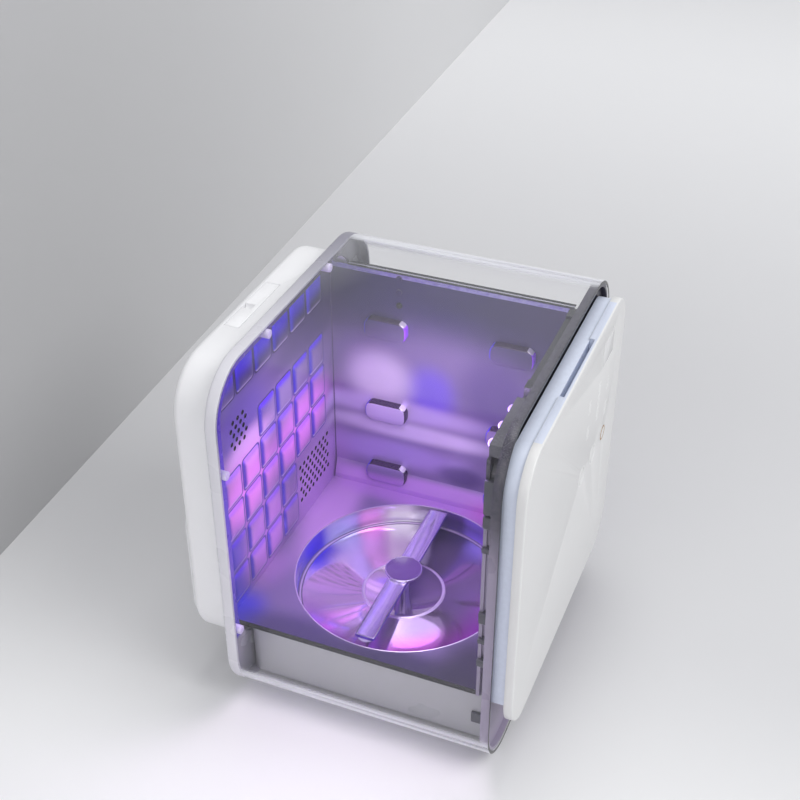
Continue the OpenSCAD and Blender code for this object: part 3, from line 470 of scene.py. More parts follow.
def make_painted_violet_light():
    """Painted light and shade: the violet of the cavity's own lamps on its steel, painted by place.
    """
    group, given, out = new_group("Painted violet light",
        [("Steel", "NodeSocketColor", colour(132, 112, 164)), ("Strength", "NodeSocketFloat", 1.0)],
        [("Color", "NodeSocketColor")])
    place = place_in(group)
    tint = given.outputs[0]
    for centre, reach, shade, strength in PAINTED_LIGHT_PATCHES:
        away = vector_maths(group, "SUBTRACT", place, mm(*centre))[0]
        away = vector_maths(group, "DIVIDE", away, mm(*reach))[0]
        near = span(group, vector_maths(group, "LENGTH", away)[1], 0.25, 1.35, strength, 0.0,
            "SMOOTHERSTEP")
        near = maths(group, "MULTIPLY", near, given.outputs[1])
        tint = mixed(group, near, tint, colour(*shade))
    feed(out, 0, tint)
    return group


GRAIN = make_grain()
BRUSHING = make_brushing()
WEAR = make_wear()
PAINTED_VIOLET_LIGHT = make_painted_violet_light()


def new_material(name):
    """An empty material with its node tree and its shader."""
    material = bpy.data.materials.new(name)
    material.use_nodes = True
    tree = material.node_tree
    tree.nodes.clear()
    shader = tree.nodes.new("ShaderNodeBsdfPrincipled")
    output = tree.nodes.new("ShaderNodeOutputMaterial")
    tree.links.new(shader.outputs[0], output.inputs["Surface"])
    return material, tree, shader


def bumped(tree, shader, height, strength, distance):
    """Bumps the shader's surface; the distance is in mm."""
    bump = add(tree, "Bump", None, {"Height": height, "Strength": strength,
        "Distance": distance * MM})
    feed(shader, "Normal", bump.outputs[0])


def moulded(name, shade, rough, grain=0.5, bump=0.25, tone=0.06, edge=0.3, dust=0.15,
            coat=0.0, painted_fades=()):
    """Moulded plastic or rubber: grain, clouds of tone, rubbed edges, a little dust, and painted
    fades of light and shade where given.
    """
    material, tree, shader = new_material(name)
    shade = colour(*shade)
    grained = use_group(tree, GRAIN, Grain_Size=grain)
    worn = use_group(tree, WEAR, Edge=edge, Dust=dust)
    dark = tuple(level * (1 - tone * 2) for level in shade[:3]) + (1,)
    light = tuple(min(1, level * 1.12 + 0.004) for level in shade[:3]) + (1,)
    surface = mixed(tree, span(tree, grained["Tone"], 0.3, 0.7), dark, shade)
    surface = faded(tree, surface, painted_fades)
    surface = mixed(tree, worn["Worn"], surface, light)
    surface = mixed(tree, worn["Dusty"], surface, colour(206, 205, 202))
    feed(shader, "Base Color", surface)
    gloss = span(tree, grained["Tone"], 0.3, 0.7, rough - 0.05, rough + 0.06)
    gloss = maths(tree, "ADD", gloss, maths(tree, "MULTIPLY", worn["Dusty"], 0.3), clamp=True)
    feed(shader, "Roughness", gloss)
    shader.inputs["Coat Weight"].default_value = coat
    shader.inputs["Coat Roughness"].default_value = 0.12
    bumped(tree, shader, grained["Height"], bump, 0.05)
    return material


def metal(name, shade, rough, along=(1, 1, 0.08), bump=0.08, metallic=1.0, edge=0.2):
    """Bare metal with fine brushing, and brighter rubbed edges."""
    material, tree, shader = new_material(name)
    shade = colour(*shade)
    brushed = use_group(tree, BRUSHING, Along=along)
    worn = use_group(tree, WEAR, Edge=edge, Dust=0.05)
    dark = tuple(level * 0.84 for level in shade[:3]) + (1,)
    surface = mixed(tree, span(tree, brushed["Tone"], 0.3, 0.7), dark, shade)
    surface = mixed(tree, worn["Worn"], surface, colour(236, 236, 240))
    feed(shader, "Base Color", surface)
    feed(shader, "Roughness", span(tree, brushed["Height"], 0.3, 0.7, rough - 0.06,
        rough + 0.08))
    shader.inputs["Metallic"].default_value = metallic
    bumped(tree, shader, brushed["Height"], bump, 0.04)
    return material


def cavity_steel(name, along, rough=0.34, painted_slope_light=0.0, bump=0.02, metallic=0.35, painted_sweep=()):
    """The cavity's steel: brushing and the painted violet light and shade. Painted slope light
    colours the slopes by their side, as painted light and shade; painted sweep gives painted
    reflections and highlights round the basin, by their angle in degrees from +X towards +Y, from
    the radius in mm where each begins."""
    material, tree, shader = new_material(name)
    coords = add(tree, "TexCoord")
    place = axes(tree, coords.outputs["Object"])
    tint = use_group(tree, PAINTED_VIOLET_LIGHT)["Color"]
    brushed = use_group(tree, BRUSHING, Along=along)
    if painted_slope_light:
        # Painted light and shade by the way each slope faces: side, from, to and colour of each
        # slope, the left, the right, the foot and the head
        side = axes(tree, coords.outputs["Normal"])
        for axis, start, end, shade in ((X, -0.08, -0.45, (72, 58, 196)),
                (X, 0.1, 0.5, (108, 98, 140)), (Z, -0.08, -0.45, (214, 204, 232))):
            slope = span(tree, side[axis], start, end, 0.0, painted_slope_light, "SMOOTHSTEP")
            tint = mixed(tree, slope, tint, colour(*shade))
        # Painted violet lamp light on the slopes that face up, stronger towards the top
        head = span(tree, side[Z], 0.04, 0.4, 0.0, painted_slope_light, "SMOOTHSTEP")
        level = span(tree, place[Z], 0.2, 0.28, 0.45, 1.0, "SMOOTHSTEP")
        tint = mixed(tree, maths(tree, "MULTIPLY", head, level), tint, colour(92, 36, 255))
        # A painted band of violet light along the top row
        painted_crown_light = span(tree, place[Z], 0.285, 0.303, 0.0, 0.9, "SMOOTHSTEP")
        tint = mixed(tree, painted_crown_light, tint, colour(82, 42, 246))
    # Painted reflections and highlights round the basin, by angle and radius
    if painted_sweep:
        turn = maths(tree, "ARCTAN2", maths(tree, "SUBTRACT", place[Y], post.y), place[X])
        for angle, reach, inner, shade in painted_sweep:
            away = maths(tree, "COSINE", maths(tree, "SUBTRACT", turn, math.radians(angle)))
            near = span(tree, away, math.cos(math.radians(reach)), 1.0, 0.0, 0.95, "SMOOTHSTEP")
            if inner:
                flat = add(tree, "CombineXYZ", None, {0: place[X], 1: place[Y]}).outputs[0]
                radius = vector_maths(tree, "LENGTH", flat)[1]
                near = maths(tree, "MULTIPLY", near, span(tree, radius, inner * MM, 98 * MM,
                    0.0, 1.0, "SMOOTHSTEP"))
            tint = mixed(tree, near, tint, colour(*shade))
    dark = mixed(tree, 1.0, tint, colour(240, 240, 244), "MULTIPLY")
    feed(shader, "Base Color", mixed(tree, span(tree, brushed["Tone"], 0.3, 0.7), dark, tint))
    feed(shader, "Roughness", span(tree, brushed["Tone"], 0.3, 0.7, rough - 0.02, rough + 0.03))
    shader.inputs["Metallic"].default_value = metallic
    bumped(tree, shader, brushed["Height"], bump, 0.02)
    return material


def clear_sheet():
    """Clear acrylic: almost unseen from the front, with a pale veil and a bright edge at a slant,
    painted in as white that grows opaque at a slant: a painted reflection.
    """
    material, tree, shader = new_material("clear acrylic")
    grained = use_group(tree, GRAIN, Grain_Size=3.0, Cloud_Size=60.0)
    feed(shader, "Base Color", mixed(tree, grained["Tone"], colour(236, 238, 244),
        colour(246, 247, 252)))
    feed(shader, "Roughness", span(tree, grained["Tone"], 0.3, 0.7, 0.04, 0.06))
    slant = add(tree, "LayerWeight", None, {0: 0.5}).outputs["Facing"]
    # White that shows more at a slant: painted reflection
    painted_reflection_veil = span(tree, slant, 0.3, 0.5, 0.015, 0.06)
    edge = span(tree, slant, 0.5, 0.88, 0.0, 0.92, "SMOOTHSTEP")
    feed(shader, "Alpha", maths(tree, "MAXIMUM", painted_reflection_veil, edge))
    return material


def glowing_lens():
    """The lamps' domed lenses: violet, brightest at the tip."""
    material, tree, shader = new_material("violet lens")
    grained = use_group(tree, GRAIN, Grain_Size=0.8)
    feed(shader, "Base Color", mixed(tree, grained["Tone"], colour(196, 160, 255),
        colour(226, 206, 255)))
    feed(shader, "Emission Color", mixed(tree, grained["Tone"], colour(190, 120, 255),
        colour(222, 190, 255)))
    shader.inputs["Emission Strength"].default_value = 0.6
    shader.inputs["Roughness"].default_value = 0.15
    return material


def circuit_green():
    """A circuit board with paler tracks; the parts that stand on it are dark or copper."""
    material, tree, shader = new_material("board green")
    tracks = add(tree, "TexBrick", {"offset": 0.37, "squash": 1.7},
        {"Vector": place_in(tree), "Scale": 90.0, "Mortar Size": 0.06,
         "Color1": colour(18, 84, 52), "Color2": colour(24, 98, 60),
         "Mortar": colour(70, 150, 96)})
    grained = use_group(tree, GRAIN, Grain_Size=0.6)
    feed(shader, "Base Color", mixed(tree, span(tree, grained["Tone"], 0.3, 0.7, 0.0, 0.3),
        tracks.outputs[0], colour(10, 50, 32)))
    feed(shader, "Roughness", span(tree, grained["Height"], 0.3, 0.7, 0.3, 0.45))
    bumped(tree, shader, tracks.outputs[1], 0.3, 0.03)
    return material


# Settings of a surface that has neither rubbed edges nor dust
CLEAN = {"edge": 0.0, "dust": 0.0}

cover_white = moulded("cover white", (240, 240, 242), 0.34, tone=0.01, dust=0.05)
# The rim fades to grey across the top towards the far side: painted shade
rim_white = moulded("rim white", (216, 215, 222), 0.3, tone=0.01, dust=0.0,
    painted_fades=[(X, -120, 140, (136, 134, 148))])
# Painted violet light on the rim's inner faces, fading to painted shade towards the far side and
# lighter at the foot
rim_inside_painted_light = moulded("rim inside painted light", (88, 66, 190), 0.26, tone=0.04, **CLEAN,
    painted_fades=[(X, -130, 0, (66, 64, 78)), (Z, 66, 60, (150, 149, 158))])
# The pegs' lilac is painted violet light on white plastic
peg_white = moulded("peg white", (226, 216, 246), 0.3, tone=0.02, dust=0.0)
grille_white = moulded("grille white", (226, 226, 229), 0.4, tone=0.02)
slab_white = moulded("slab white", (223, 223, 223), 0.38, grain=0.4, bump=0.12,
    tone=0.008, dust=0.03)
band_white = moulded("band white", (212, 219, 236), 0.42, grain=0.45, bump=0.3,
    tone=0.02, dust=0.04)
window_white = moulded("window white", (222, 222, 223), 0.16, bump=0.04, tone=0.01,
    dust=0.02)
key_white = moulded("key white", (228, 228, 228), 0.3, bump=0.1, tone=0.01)
mark_white = moulded("mark white", (244, 244, 244), 0.3, bump=0.05, tone=0.01)
mark_grey = moulded("mark grey", (206, 205, 204), 0.4, bump=0.05, tone=0.01)
# The frame fades to a dark grey at the top: painted shade; its lilac is painted violet light
frame_grey = moulded("frame grey", (158, 148, 172), 0.3, tone=0.05,
    painted_fades=[(Z, 215, 290, (56, 54, 68))])
clip_dark = moulded("clip dark", (74, 75, 84), 0.4, tone=0.06)
lamp_grey = moulded("lamp grey", (92, 92, 100), 0.34, tone=0.05)
ledge_dark = moulded("ledge dark", (44, 45, 52), 0.42, tone=0.06)
part_black = moulded("part black", (26, 26, 29), 0.4, tone=0.08)
plunger_red = moulded("plunger red", (190, 62, 48), 0.35)
seal_rubber = moulded("seal rubber", (58, 58, 62), 0.62, bump=0.4, tone=0.08)
foot_rubber = moulded("foot rubber", (46, 46, 48), 0.7, bump=0.5, tone=0.08)
pad_rubber = moulded("pad rubber", (196, 182, 224), 0.45, tone=0.05)
cap_violet = moulded("cap violet", (96, 68, 136), 0.3, tone=0.08, dust=0.0, coat=0.2)
base_grey = moulded("base grey", (176, 176, 181), 0.32, grain=0.35, bump=0.12, tone=0.02,
    dust=0.05)
filter_paper = moulded("filter paper", (222, 226, 232), 0.8, grain=0.9, bump=0.8,
    tone=0.05)
bright_steel = metal("bright steel", (205, 206, 212), 0.24)
satin_aluminium = metal("satin aluminium", (178, 180, 186), 0.36)
magnet_grey = metal("magnet", (150, 150, 156), 0.3)
# The lilac of the bar and the post is painted violet light; the bar's sides take painted violet
# light and the rims a painted highlight
mirror_steel = metal("mirror steel", (206, 186, 244), 0.12, (0.05, 1, 1), 0.03, 0.75)
post_steel = metal("post steel", (214, 202, 240), 0.1, (1, 1, 0.05), 0.03)
bar_side_painted_violet_light = metal("bar side painted violet light", (122, 62, 238), 0.2, (0.05, 1, 1), 0.03, 0.5)
painted_rim_highlight = metal("cap rim painted highlight", (236, 226, 250), 0.16, (1, 1, 1), 0.03)
bronze = metal("bronze", (196, 158, 96), 0.3)
bronze_ring = metal("bronze ring", (178, 134, 70), 0.3, bump=0.03, metallic=0.6)
# A near black for thin edges and gaps where shade falls: painted shade
painted_dark_edge = moulded("painted dark edge", (22, 23, 30), 0.24, tone=0.1, **CLEAN)
# The flat between the pillows in painted shade, darker towards the top
quilt_crease_painted_shade = moulded("quilt crease painted shade", (92, 70, 164), 0.34, tone=0.1, **CLEAN,
    painted_fades=[(Z, 180, 280, (50, 42, 86))])
clear_acrylic = clear_sheet()
violet_lens = glowing_lens()
board_green = circuit_green()
wall_steel = cavity_steel("side wall steel", (1, 0.06, 1))
quilted_steel = cavity_steel("quilted steel", (1, 1, 0.3), painted_slope_light=0.9)
plate_steel = cavity_steel("back wall steel", (0.06, 1, 1))
floor_steel = cavity_steel("floor steel", (0.06, 1, 1))
# The basin's colours by angle are painted reflections and highlights
flat_steel = cavity_steel("basin floor steel", (1, 1, 1), 0.08, metallic=0.75, painted_sweep=[
    (100, 130, 0, (246, 214, 252)), (-80, 90, 0, (150, 124, 172)),
    (170, 60, 60, (196, 96, 232)), (225, 70, 52, (204, 50, 214)),
    (79, 18, 70, (92, 70, 236)), (58, 16, 60, (214, 208, 240)), (40, 14, 66, (250, 190, 236)),
    (22, 16, 62, (248, 246, 250)), (-12, 20, 60, (96, 80, 132)), (-32, 14, 70, (200, 190, 240))])
slope_steel = cavity_steel("basin slope steel", (1, 1, 1), 0.16, metallic=0.6, painted_sweep=[
    (200, 90, 0, (180, 96, 222)), (100, 40, 0, (132, 120, 220)), (79, 16, 0, (92, 70, 240)),
    (60, 16, 0, (196, 200, 246)), (38, 13, 0, (250, 190, 240)), (22, 16, 0, (250, 248, 250)),
    (6, 14, 0, (150, 146, 164)), (-10, 14, 0, (92, 70, 140)), (-24, 12, 0, (150, 120, 236)),
    (-45, 20, 0, (206, 120, 216))])
# A paler lilac steel for the basin's lip, step and bead: painted highlight
basin_rim_painted_highlight = metal("basin rim steel painted highlight", (226, 206, 246), 0.18, (1, 1, 1), 0.03, 0.6)
# Painted shade in pressed creases, round the rivets and in the back corner
pressed_line_painted_shade = moulded("pressed line painted shade", (84, 70, 112), 0.3, tone=0.1, **CLEAN)
# Painted highlights: a pale line on the fold's bead, and a lavender band along the top of the wall
painted_bead_highlight = metal("fold bead painted highlight", (176, 174, 190), 0.3, (1, 0.06, 1), 0.03, 0.5)
painted_wall_lip_highlight = metal("wall lip painted highlight", (150, 142, 206), 0.3, (1, 0.06, 1), 0.03, 0.4)
# Painted light and shade for the rack supports: a shaded top, a glint, and violet and blue lit ends
support_top_painted_shade = moulded("support top painted shade", (58, 40, 76), 0.2, tone=0.1, **CLEAN)
support_glint = metal("support painted glint", (240, 232, 252), 0.16, (1, 1, 1), 0.03, 0.4)
support_lit = moulded("support right end painted light", (158, 62, 252), 0.24, tone=0.08, **CLEAN)
support_end_painted_blue_light = moulded("support left end painted light", (84, 62, 240), 0.24, tone=0.08, **CLEAN)
felt_black = moulded("vent felt", (14, 13, 20), 0.7, grain=0.8, bump=0.8, tone=0.1,
    **CLEAN)


# ---- The clear wrap ----

def make_wrap():
    """One band of clear sheet round the sides, the top and the bottom, with polished ends."""
    wrap = rounded_block("wrap_sheet", case_low, case_high, Y, CASE_RADIUS, 20)
    start_edit(wrap)
    pick_faces(lambda at, out: abs(out.y) > 0.9)
    bpy.ops.mesh.delete(type="FACE")
    end_edit()
    apply_modifier(wrap, "SOLIDIFY", thickness=WRAP_WALL, offset=-1, use_even_offset=True)
    ease_edges(wrap, 0.5 * MM, angle=60)
    # The front edge of the clear sheet takes a painted dark line of shade
    give_faces(wrap, 1, lambda at, out: out.y < -0.6)
    dress(wrap, [clear_acrylic, painted_dark_edge], ["outer_wrap"])


# ---- The rear rim and the rear cover ----

RIM_WALL = 3 * MM
COVER_WALL = 3 * MM
BULGE_RADIUS = 45 * MM
BULGE_SOFT = 8 * MM
SLOT_GAP = 0.4 * MM
air_low, air_high = mm(7, 144, 74.5), mm(101, 148, 144.5)
screw_x, screw_z = 96 * MM, (65 * MM, 298 * MM)


def make_rim():
    """The rim as wide as the wrap: a thin wall, and a flange at its back."""
    rim = rounded_block("rim_ring", rim_low, rim_high, Y, CASE_RADIUS, 20)
    middle_z = (rim_low.z + rim_high.z) / 2
    start_edit(rim)
    pick_edges(lambda at, way: at.y > y_bulge - 0.1 * MM)
    bevel(3, 5)
    pick_faces(lambda at, out: out.y < -0.9)
    inset((RIM_WALL / MM, 0))
    move_on((0, y_bulge - COVER_WALL - y_rim, 0))
    end_edit()
    opening = rounded_block("rim_opening",
        (cover_low.x + COVER_WALL, y_rim, cover_low.z + COVER_WALL),
        (cover_high.x - COVER_WALL, y_bulge + 1 * MM, cover_high.z - COVER_WALL), Y,
        BULGE_RADIUS - COVER_WALL)
    cut_out(rim, opening)
    ease_edges(rim, 0.7 * MM, 3, 50)
    # The inside of the wall and the front of the flange, in painted violet light and shade
    give_faces(rim, 1, lambda at, out: out.y < -0.5 and at.y > y_rim + 2 * MM
        or at.x * out.x + (at.z - middle_z) * out.z < -20 * MM)
    dress(rim, [rim_white, rim_inside_painted_light], ["rear_rim"])


def make_cover():
    """The hollow bulge with its soft rear edge, its slots, screw holes and bosses."""
    cover = rounded_block("cover_shell", (cover_low.x, y_bulge, cover_low.z), cover_high, Y,
        BULGE_RADIUS, 16)
    start_edit(cover)
    pick_edges(lambda at, way: at.y > cover_high.y - 0.1 * MM)
    bevel(BULGE_SOFT / MM, 7)
    pick_faces(lambda at, out: out.y < -0.9)
    bpy.ops.mesh.delete(type="FACE")
    end_edit()
    apply_modifier(cover, "SOLIDIFY", thickness=COVER_WALL, offset=-1, use_even_offset=True)
    openings = [
        block("tray_slot", (tray_low.x - SLOT_GAP, tray_low.y - SLOT_GAP,
            cover_high.z - 6 * MM), (tray_high.x + SLOT_GAP, tray_high.y + SLOT_GAP,
            cover_high.z + 2 * MM)),
        block("air_slot", air_low, air_high),
        block("inlet_slot", (inlet_low.x - SLOT_GAP, cover_high.y - 6 * MM,
            inlet_low.z - SLOT_GAP), (inlet_high.x + SLOT_GAP, cover_high.y + 2 * MM,
            inlet_high.z + SLOT_GAP))]
    bosses = []
    for x in (-screw_x, screw_x):
        for z in screw_z:
            openings.append(rod("screw_hole", (x, cover_high.y - 6 * MM, z),
                (x, cover_high.y + 2 * MM, z), 1.6 * MM, 20))
            boss = rod("boss", (x, back_high.y, z),
                (x, cover_high.y - COVER_WALL, z), 4.5 * MM, 28, 4.7 * MM)
            cut_out(boss, rod("bore", (x, back_high.y - 2 * MM, z),
                (x, cover_high.y - 4 * MM, z), 1.6 * MM, 20))
            bosses.append(boss)
        openings.append(rod("screw_seat", (x, cover_high.y - 2 * MM, screw_z[1]),
            (x, cover_high.y + 2 * MM, screw_z[1]), 3.7 * MM, 28))
    cut_out(cover, *openings)
    join(cover, *bosses)
    ease_edges(cover, 0.45 * MM, 2, 45)
    dress(cover, cover_white, ["rear_cover"])


def make_screws():
    """The cover's screws with a cross recess in each head."""
    screws = copy_of_node("cover_screw_set", "cover_screws")
    grille_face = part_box("rear_grille")[1].y
    recesses = []
    for x in (-screw_x, screw_x):
        for z, y in zip(screw_z, (grille_face, cover_high.y)):
            for long, short in ((2.2, 0.5), (0.5, 2.2)):
                recesses.append(block("recess", (x - long * MM, y - 0.9 * MM, z - short * MM),
                    (x + long * MM, y + 1 * MM, z + short * MM)))
    cut_out(screws, *recesses)
    ease_edges(screws, 0.2 * MM, 2, 40)
    dress(screws, bright_steel, ["cover_screws"])


# ---- The quilted back wall ----

# In mm: the pillows' pitch and size, and where they begin below the top and beside the left
PITCH = (34.0, 35.5)
PILLOW = (30.0, 31.5)
TOP_DROP, FIELD_DROP, FIRST_COLUMN = 15.5, 82, 27
# Each vent's middle, and how many holes each row has; then a hole's radius and their pitch
VENTS = (((-72, 242), (3, 4, 3, 4, 3)), ((67, 105), (8, 7, 8, 7, 8, 7, 8)))
HOLE = 2.3
HOLE_PITCH = (8.7, 6.5)


def copies_at(pattern, places):
    """Copies the pattern to each place in mm, each with its own mesh, and joins them."""
    copies = []
    for place in places:
        made = new_object(pattern.name, pattern.data.copy())
        made.location = mm(*place)
        activate(made)
        settle()
        copies.append(made)
    bpy.data.objects.remove(pattern)
    return join(*copies)


def make_pillow(name):
    """One quilted pillow: a rounded square that rises in soft slopes, with a crease round it."""
    half = mm(PILLOW[0] / 2, 0, PILLOW[1] / 2)
    pillow = rounded_block(name, (-half.x, y_back - 0.1 * MM, -half.z),
        (half.x, y_back, half.z), Y, 4 * MM, 5)
    start_edit(pillow)
    pick_faces(lambda at, out: out.y > 0.9)
    bpy.ops.mesh.delete(type="FACE")
    pick_edges(lambda at, way: at.y > y_back - 0.02 * MM)
    move_on((0, 0, 0))
    resize((1.1, 1, 1.095), (0, y_back, 0))
    pick_faces(lambda at, out: out.y < -0.9 and abs(at.x) < 1 * MM
        and abs(at.z) < 1 * MM)
    # Each step rises this far in mm and draws in to this share
    for rise, share in ((0.7, 0.93), (0.6, 0.91), (0.45, 0.87), (0.35, 0.8), (0.2, 0.66),
            (0.1, 0.4)):
        move_on((0, -rise * MM, 0))
        resize((share, 1, share), (0, y_back, 0))
    end_edit()
    return pillow


def quilt_places():
    """The middles of the pillows, in mm: a row along the top, then the field."""
    places = []
    for drop in (TOP_DROP, *(FIELD_DROP + row * PITCH[1] for row in range(5))):
        for column in range(6):
            x, z = -x_liner / MM + FIRST_COLUMN + column * PITCH[0], z_liner / MM - drop
            if all(abs(x - vent_x) > PITCH[0] or abs(z - vent_z) > PITCH[1]
                    for (vent_x, vent_z), _ in VENTS):
                places.append((x, 0, z))
    return places


def make_back_wall():
    """The plate with its two vents, and the pillows."""
    plate = block("back_plate", (-x_liner, y_back, back_low.z),
        (back_high.x, back_high.y, z_liner))
    holes = [(middle[0] + (place - (count - 1) / 2) * HOLE_PITCH[0], 0,
        middle[1] + (row - (len(rows) - 1) / 2) * HOLE_PITCH[1])
        for middle, rows in VENTS for row, count in enumerate(rows) for place in range(count)]
    drill = rod("drill", (0, y_back - 2 * MM, 0), (0, back_high.y + 2 * MM, 0), HOLE * MM, 16)
    cut_out(plate, copies_at(drill, holes))
    # The walls of the vent holes in painted shade
    give_faces(plate, 1, lambda at, out: abs(out.y) < 0.5
        and abs(at.x) < x_liner - 2 * MM and z_floor < at.z < z_liner - 1 * MM)
    quilt = copies_at(make_pillow("back_quilt"), quilt_places())
    start_edit(quilt)
    bpy.ops.mesh.select_all(action="SELECT")
    move((0, -0.06 * MM, 0))
    end_edit()
    # The flat between the pillows takes the painted crease shade
    give_faces(quilt, 1, lambda at, out: at.y > y_back - 0.17 * MM)
    rename(quilt, "back_quilt")
    dress(plate, [plate_steel, part_black], ["liner_back_wall"])
    dress(quilt, [quilted_steel, quilt_crease_painted_shade], angle=30)


def make_vent_felts():
    """Black felt behind the vents: a pad with a pressed edge and a raised middle."""
    felts = []
    for name, low, high in (("felt_upper", (-87, 226, 1.2), (-57, 258, 1.2)),
            ("felt_lower", (30, 82.5, 0.5), (94, 127.5, 0.5)),
            ("felt_end", (96.2, 83, 0.5), (102, 127, 0.5))):
        behind = back_high.y + 0.05 * MM
        felt = rounded_block(name, (low[0] * MM, behind, low[1] * MM),
            (high[0] * MM, behind + low[2] * MM, high[1] * MM), Y, 3 * MM, 6)
        start_edit(felt)
        pick_faces(lambda at, out: out.y > 0.9)
        inset((1.5, 0.2), (0.8, -0.2))
        end_edit()
        felts.append(felt)
    felt = rename(join(*felts), "vent_felts")
    dress(felt, felt_black)


# ---- The side wall with its rack supports ----

FOLD = 7 * MM
LEDGE = (6 * MM, 5.5 * MM, 22 * MM)


def make_support(name, y, z):
    """One rack support: a pressed block with round corners and a soft front edge."""
    front, wall = x_liner - 8 * MM, x_liner + 0.4 * MM
    half = mm(0, 21, 10.5)
    support = rounded_block(name, (front, y - half.y, z - half.z),
        (wall, y + half.y, z + half.z), X, 8 * MM, 10)
    start_edit(support)
    pick_edges(lambda at, way: at.x < front + 0.05 * MM)
    bevel(1.6, 4)
    pick_faces(lambda at, out: out.x > 0.9)
    bpy.ops.mesh.delete(type="FACE")
    end_edit()
    return support


def make_side_wall():
    """The sheet with its top fold, the ledge at its foot, and six supports."""
    fold_bead = x_liner + 2.4 * MM, x_liner + 4 * MM
    wall = block("side_sheet", (x_liner, side_low.y, side_low.z),
        (x_liner + SHEET, y_back, z_liner))
    start_edit(wall)
    slice_across(Z, z_liner - 5 * MM)
    slice_across(Y, y_back - 1 * MM)
    end_edit()
    fold = block("top_fold", (x_liner, side_low.y, z_liner - SHEET),
        (x_liner + FOLD + SHEET, 103 * MM, z_liner))
    start_edit(fold)
    slice_across(X, *fold_bead)
    pick_faces(lambda at, out: out.z > 0.9
        and fold_bead[0] < at.x < fold_bead[1])
    inset((0.3, 0.2))
    end_edit()
    ledge = block("foot_ledge", (x_liner - LEDGE[0], side_low.y, z_floor),
        (x_liner + SHEET / 2, back_low.y, z_floor + LEDGE[2]))
    start_edit(ledge)
    pick_edges(lambda at, way: at.x < x_liner - 3 * MM and at.z > z_floor
        + 10 * MM and abs(way.y) > 0.9)
    move((0, 0, LEDGE[1] - LEDGE[2]))
    pick_edges(lambda at, way: abs(way.y) > 0.9 and at.z > z_floor + 2 * MM)
    bevel(0.9, 3)
    end_edit()
    support_set = join(*(make_support("support", y * MM, z * MM)
        for y in (-60.5, 63.5) for z in (81, 155.5, 250)))
    # Painted light and shade on the sides of a support by how they face: the top and the lower
    # tiers' near ends in painted shade, the top tier's near end in painted violet light, a painted
    # glint between top and end, and the far ends in painted blue light
    give_faces(support_set, 1, lambda at, out: out.z > 0.5
        or out.y < -0.5 and at.z < 200 * MM)
    give_faces(support_set, 2, lambda at, out: out.y < -0.5
        and -0.8 < out.z < 0.62 and out.x < 0.3 and at.z > 200 * MM)
    give_faces(support_set, 3, lambda at, out: out.y < -0.2 and out.z > 0.6
        and out.x > -0.9)
    give_faces(support_set, 4, lambda at, out: out.y > 0.5 and -0.3 < out.z < 0.8)
    dress(support_set, [wall_steel, support_top_painted_shade, support_lit, support_glint,
        support_end_painted_blue_light])
    rename(support_set, "rack_supports")
    rename(join(wall, fold, ledge), "side_wall_sheet")
    ease_edges(wall, 0.25 * MM, 1, 60)
    # Painted light and shade along the wall: the fold's top in painted shade, its bead in a painted
    # highlight, a painted highlight along the top of the wall's face, and painted shade in the
    # strip at the back corner
    give_faces(wall, 1, lambda at, out: at.z > z_liner - 0.5 * MM
        and at.x > x_liner + 0.3 * MM)
    give_faces(wall, 2, lambda at, out: at.z > z_liner - 0.5 * MM
        and fold_bead[0] < at.x < fold_bead[1])
    give_faces(wall, 3, lambda at, out: out.x < -0.8 and at.z > z_liner - 5 * MM)
    give_faces(wall, 4, lambda at, out: out.x < -0.8 and at.y > y_back - 1 * MM)
    dress(wall, [wall_steel, painted_dark_edge, painted_bead_highlight, painted_wall_lip_highlight, pressed_line_painted_shade],
        ["liner_side_wall"])
    rivets = eased_node("rivet_pair", "wall_rivets", 0.3 * MM)
    start_edit(rivets)
    pick_faces(lambda at, out: out.x < -0.9)
    inset((0.6, 0))
    end_edit()
    # The rivets' flat heads keep the wall's steel; their sides take painted shade
    for face in rivets.data.polygons:
        face.material_index = 0 if len(face.vertices) > 8 and face.normal.x < -0.9 else 1
    dress(rivets, [wall_steel, pressed_line_painted_shade], ["wall_rivets"])


# ---- The floor pan ----

BASIN_RADIUS = 101 * MM
BASIN_SIDES = 128


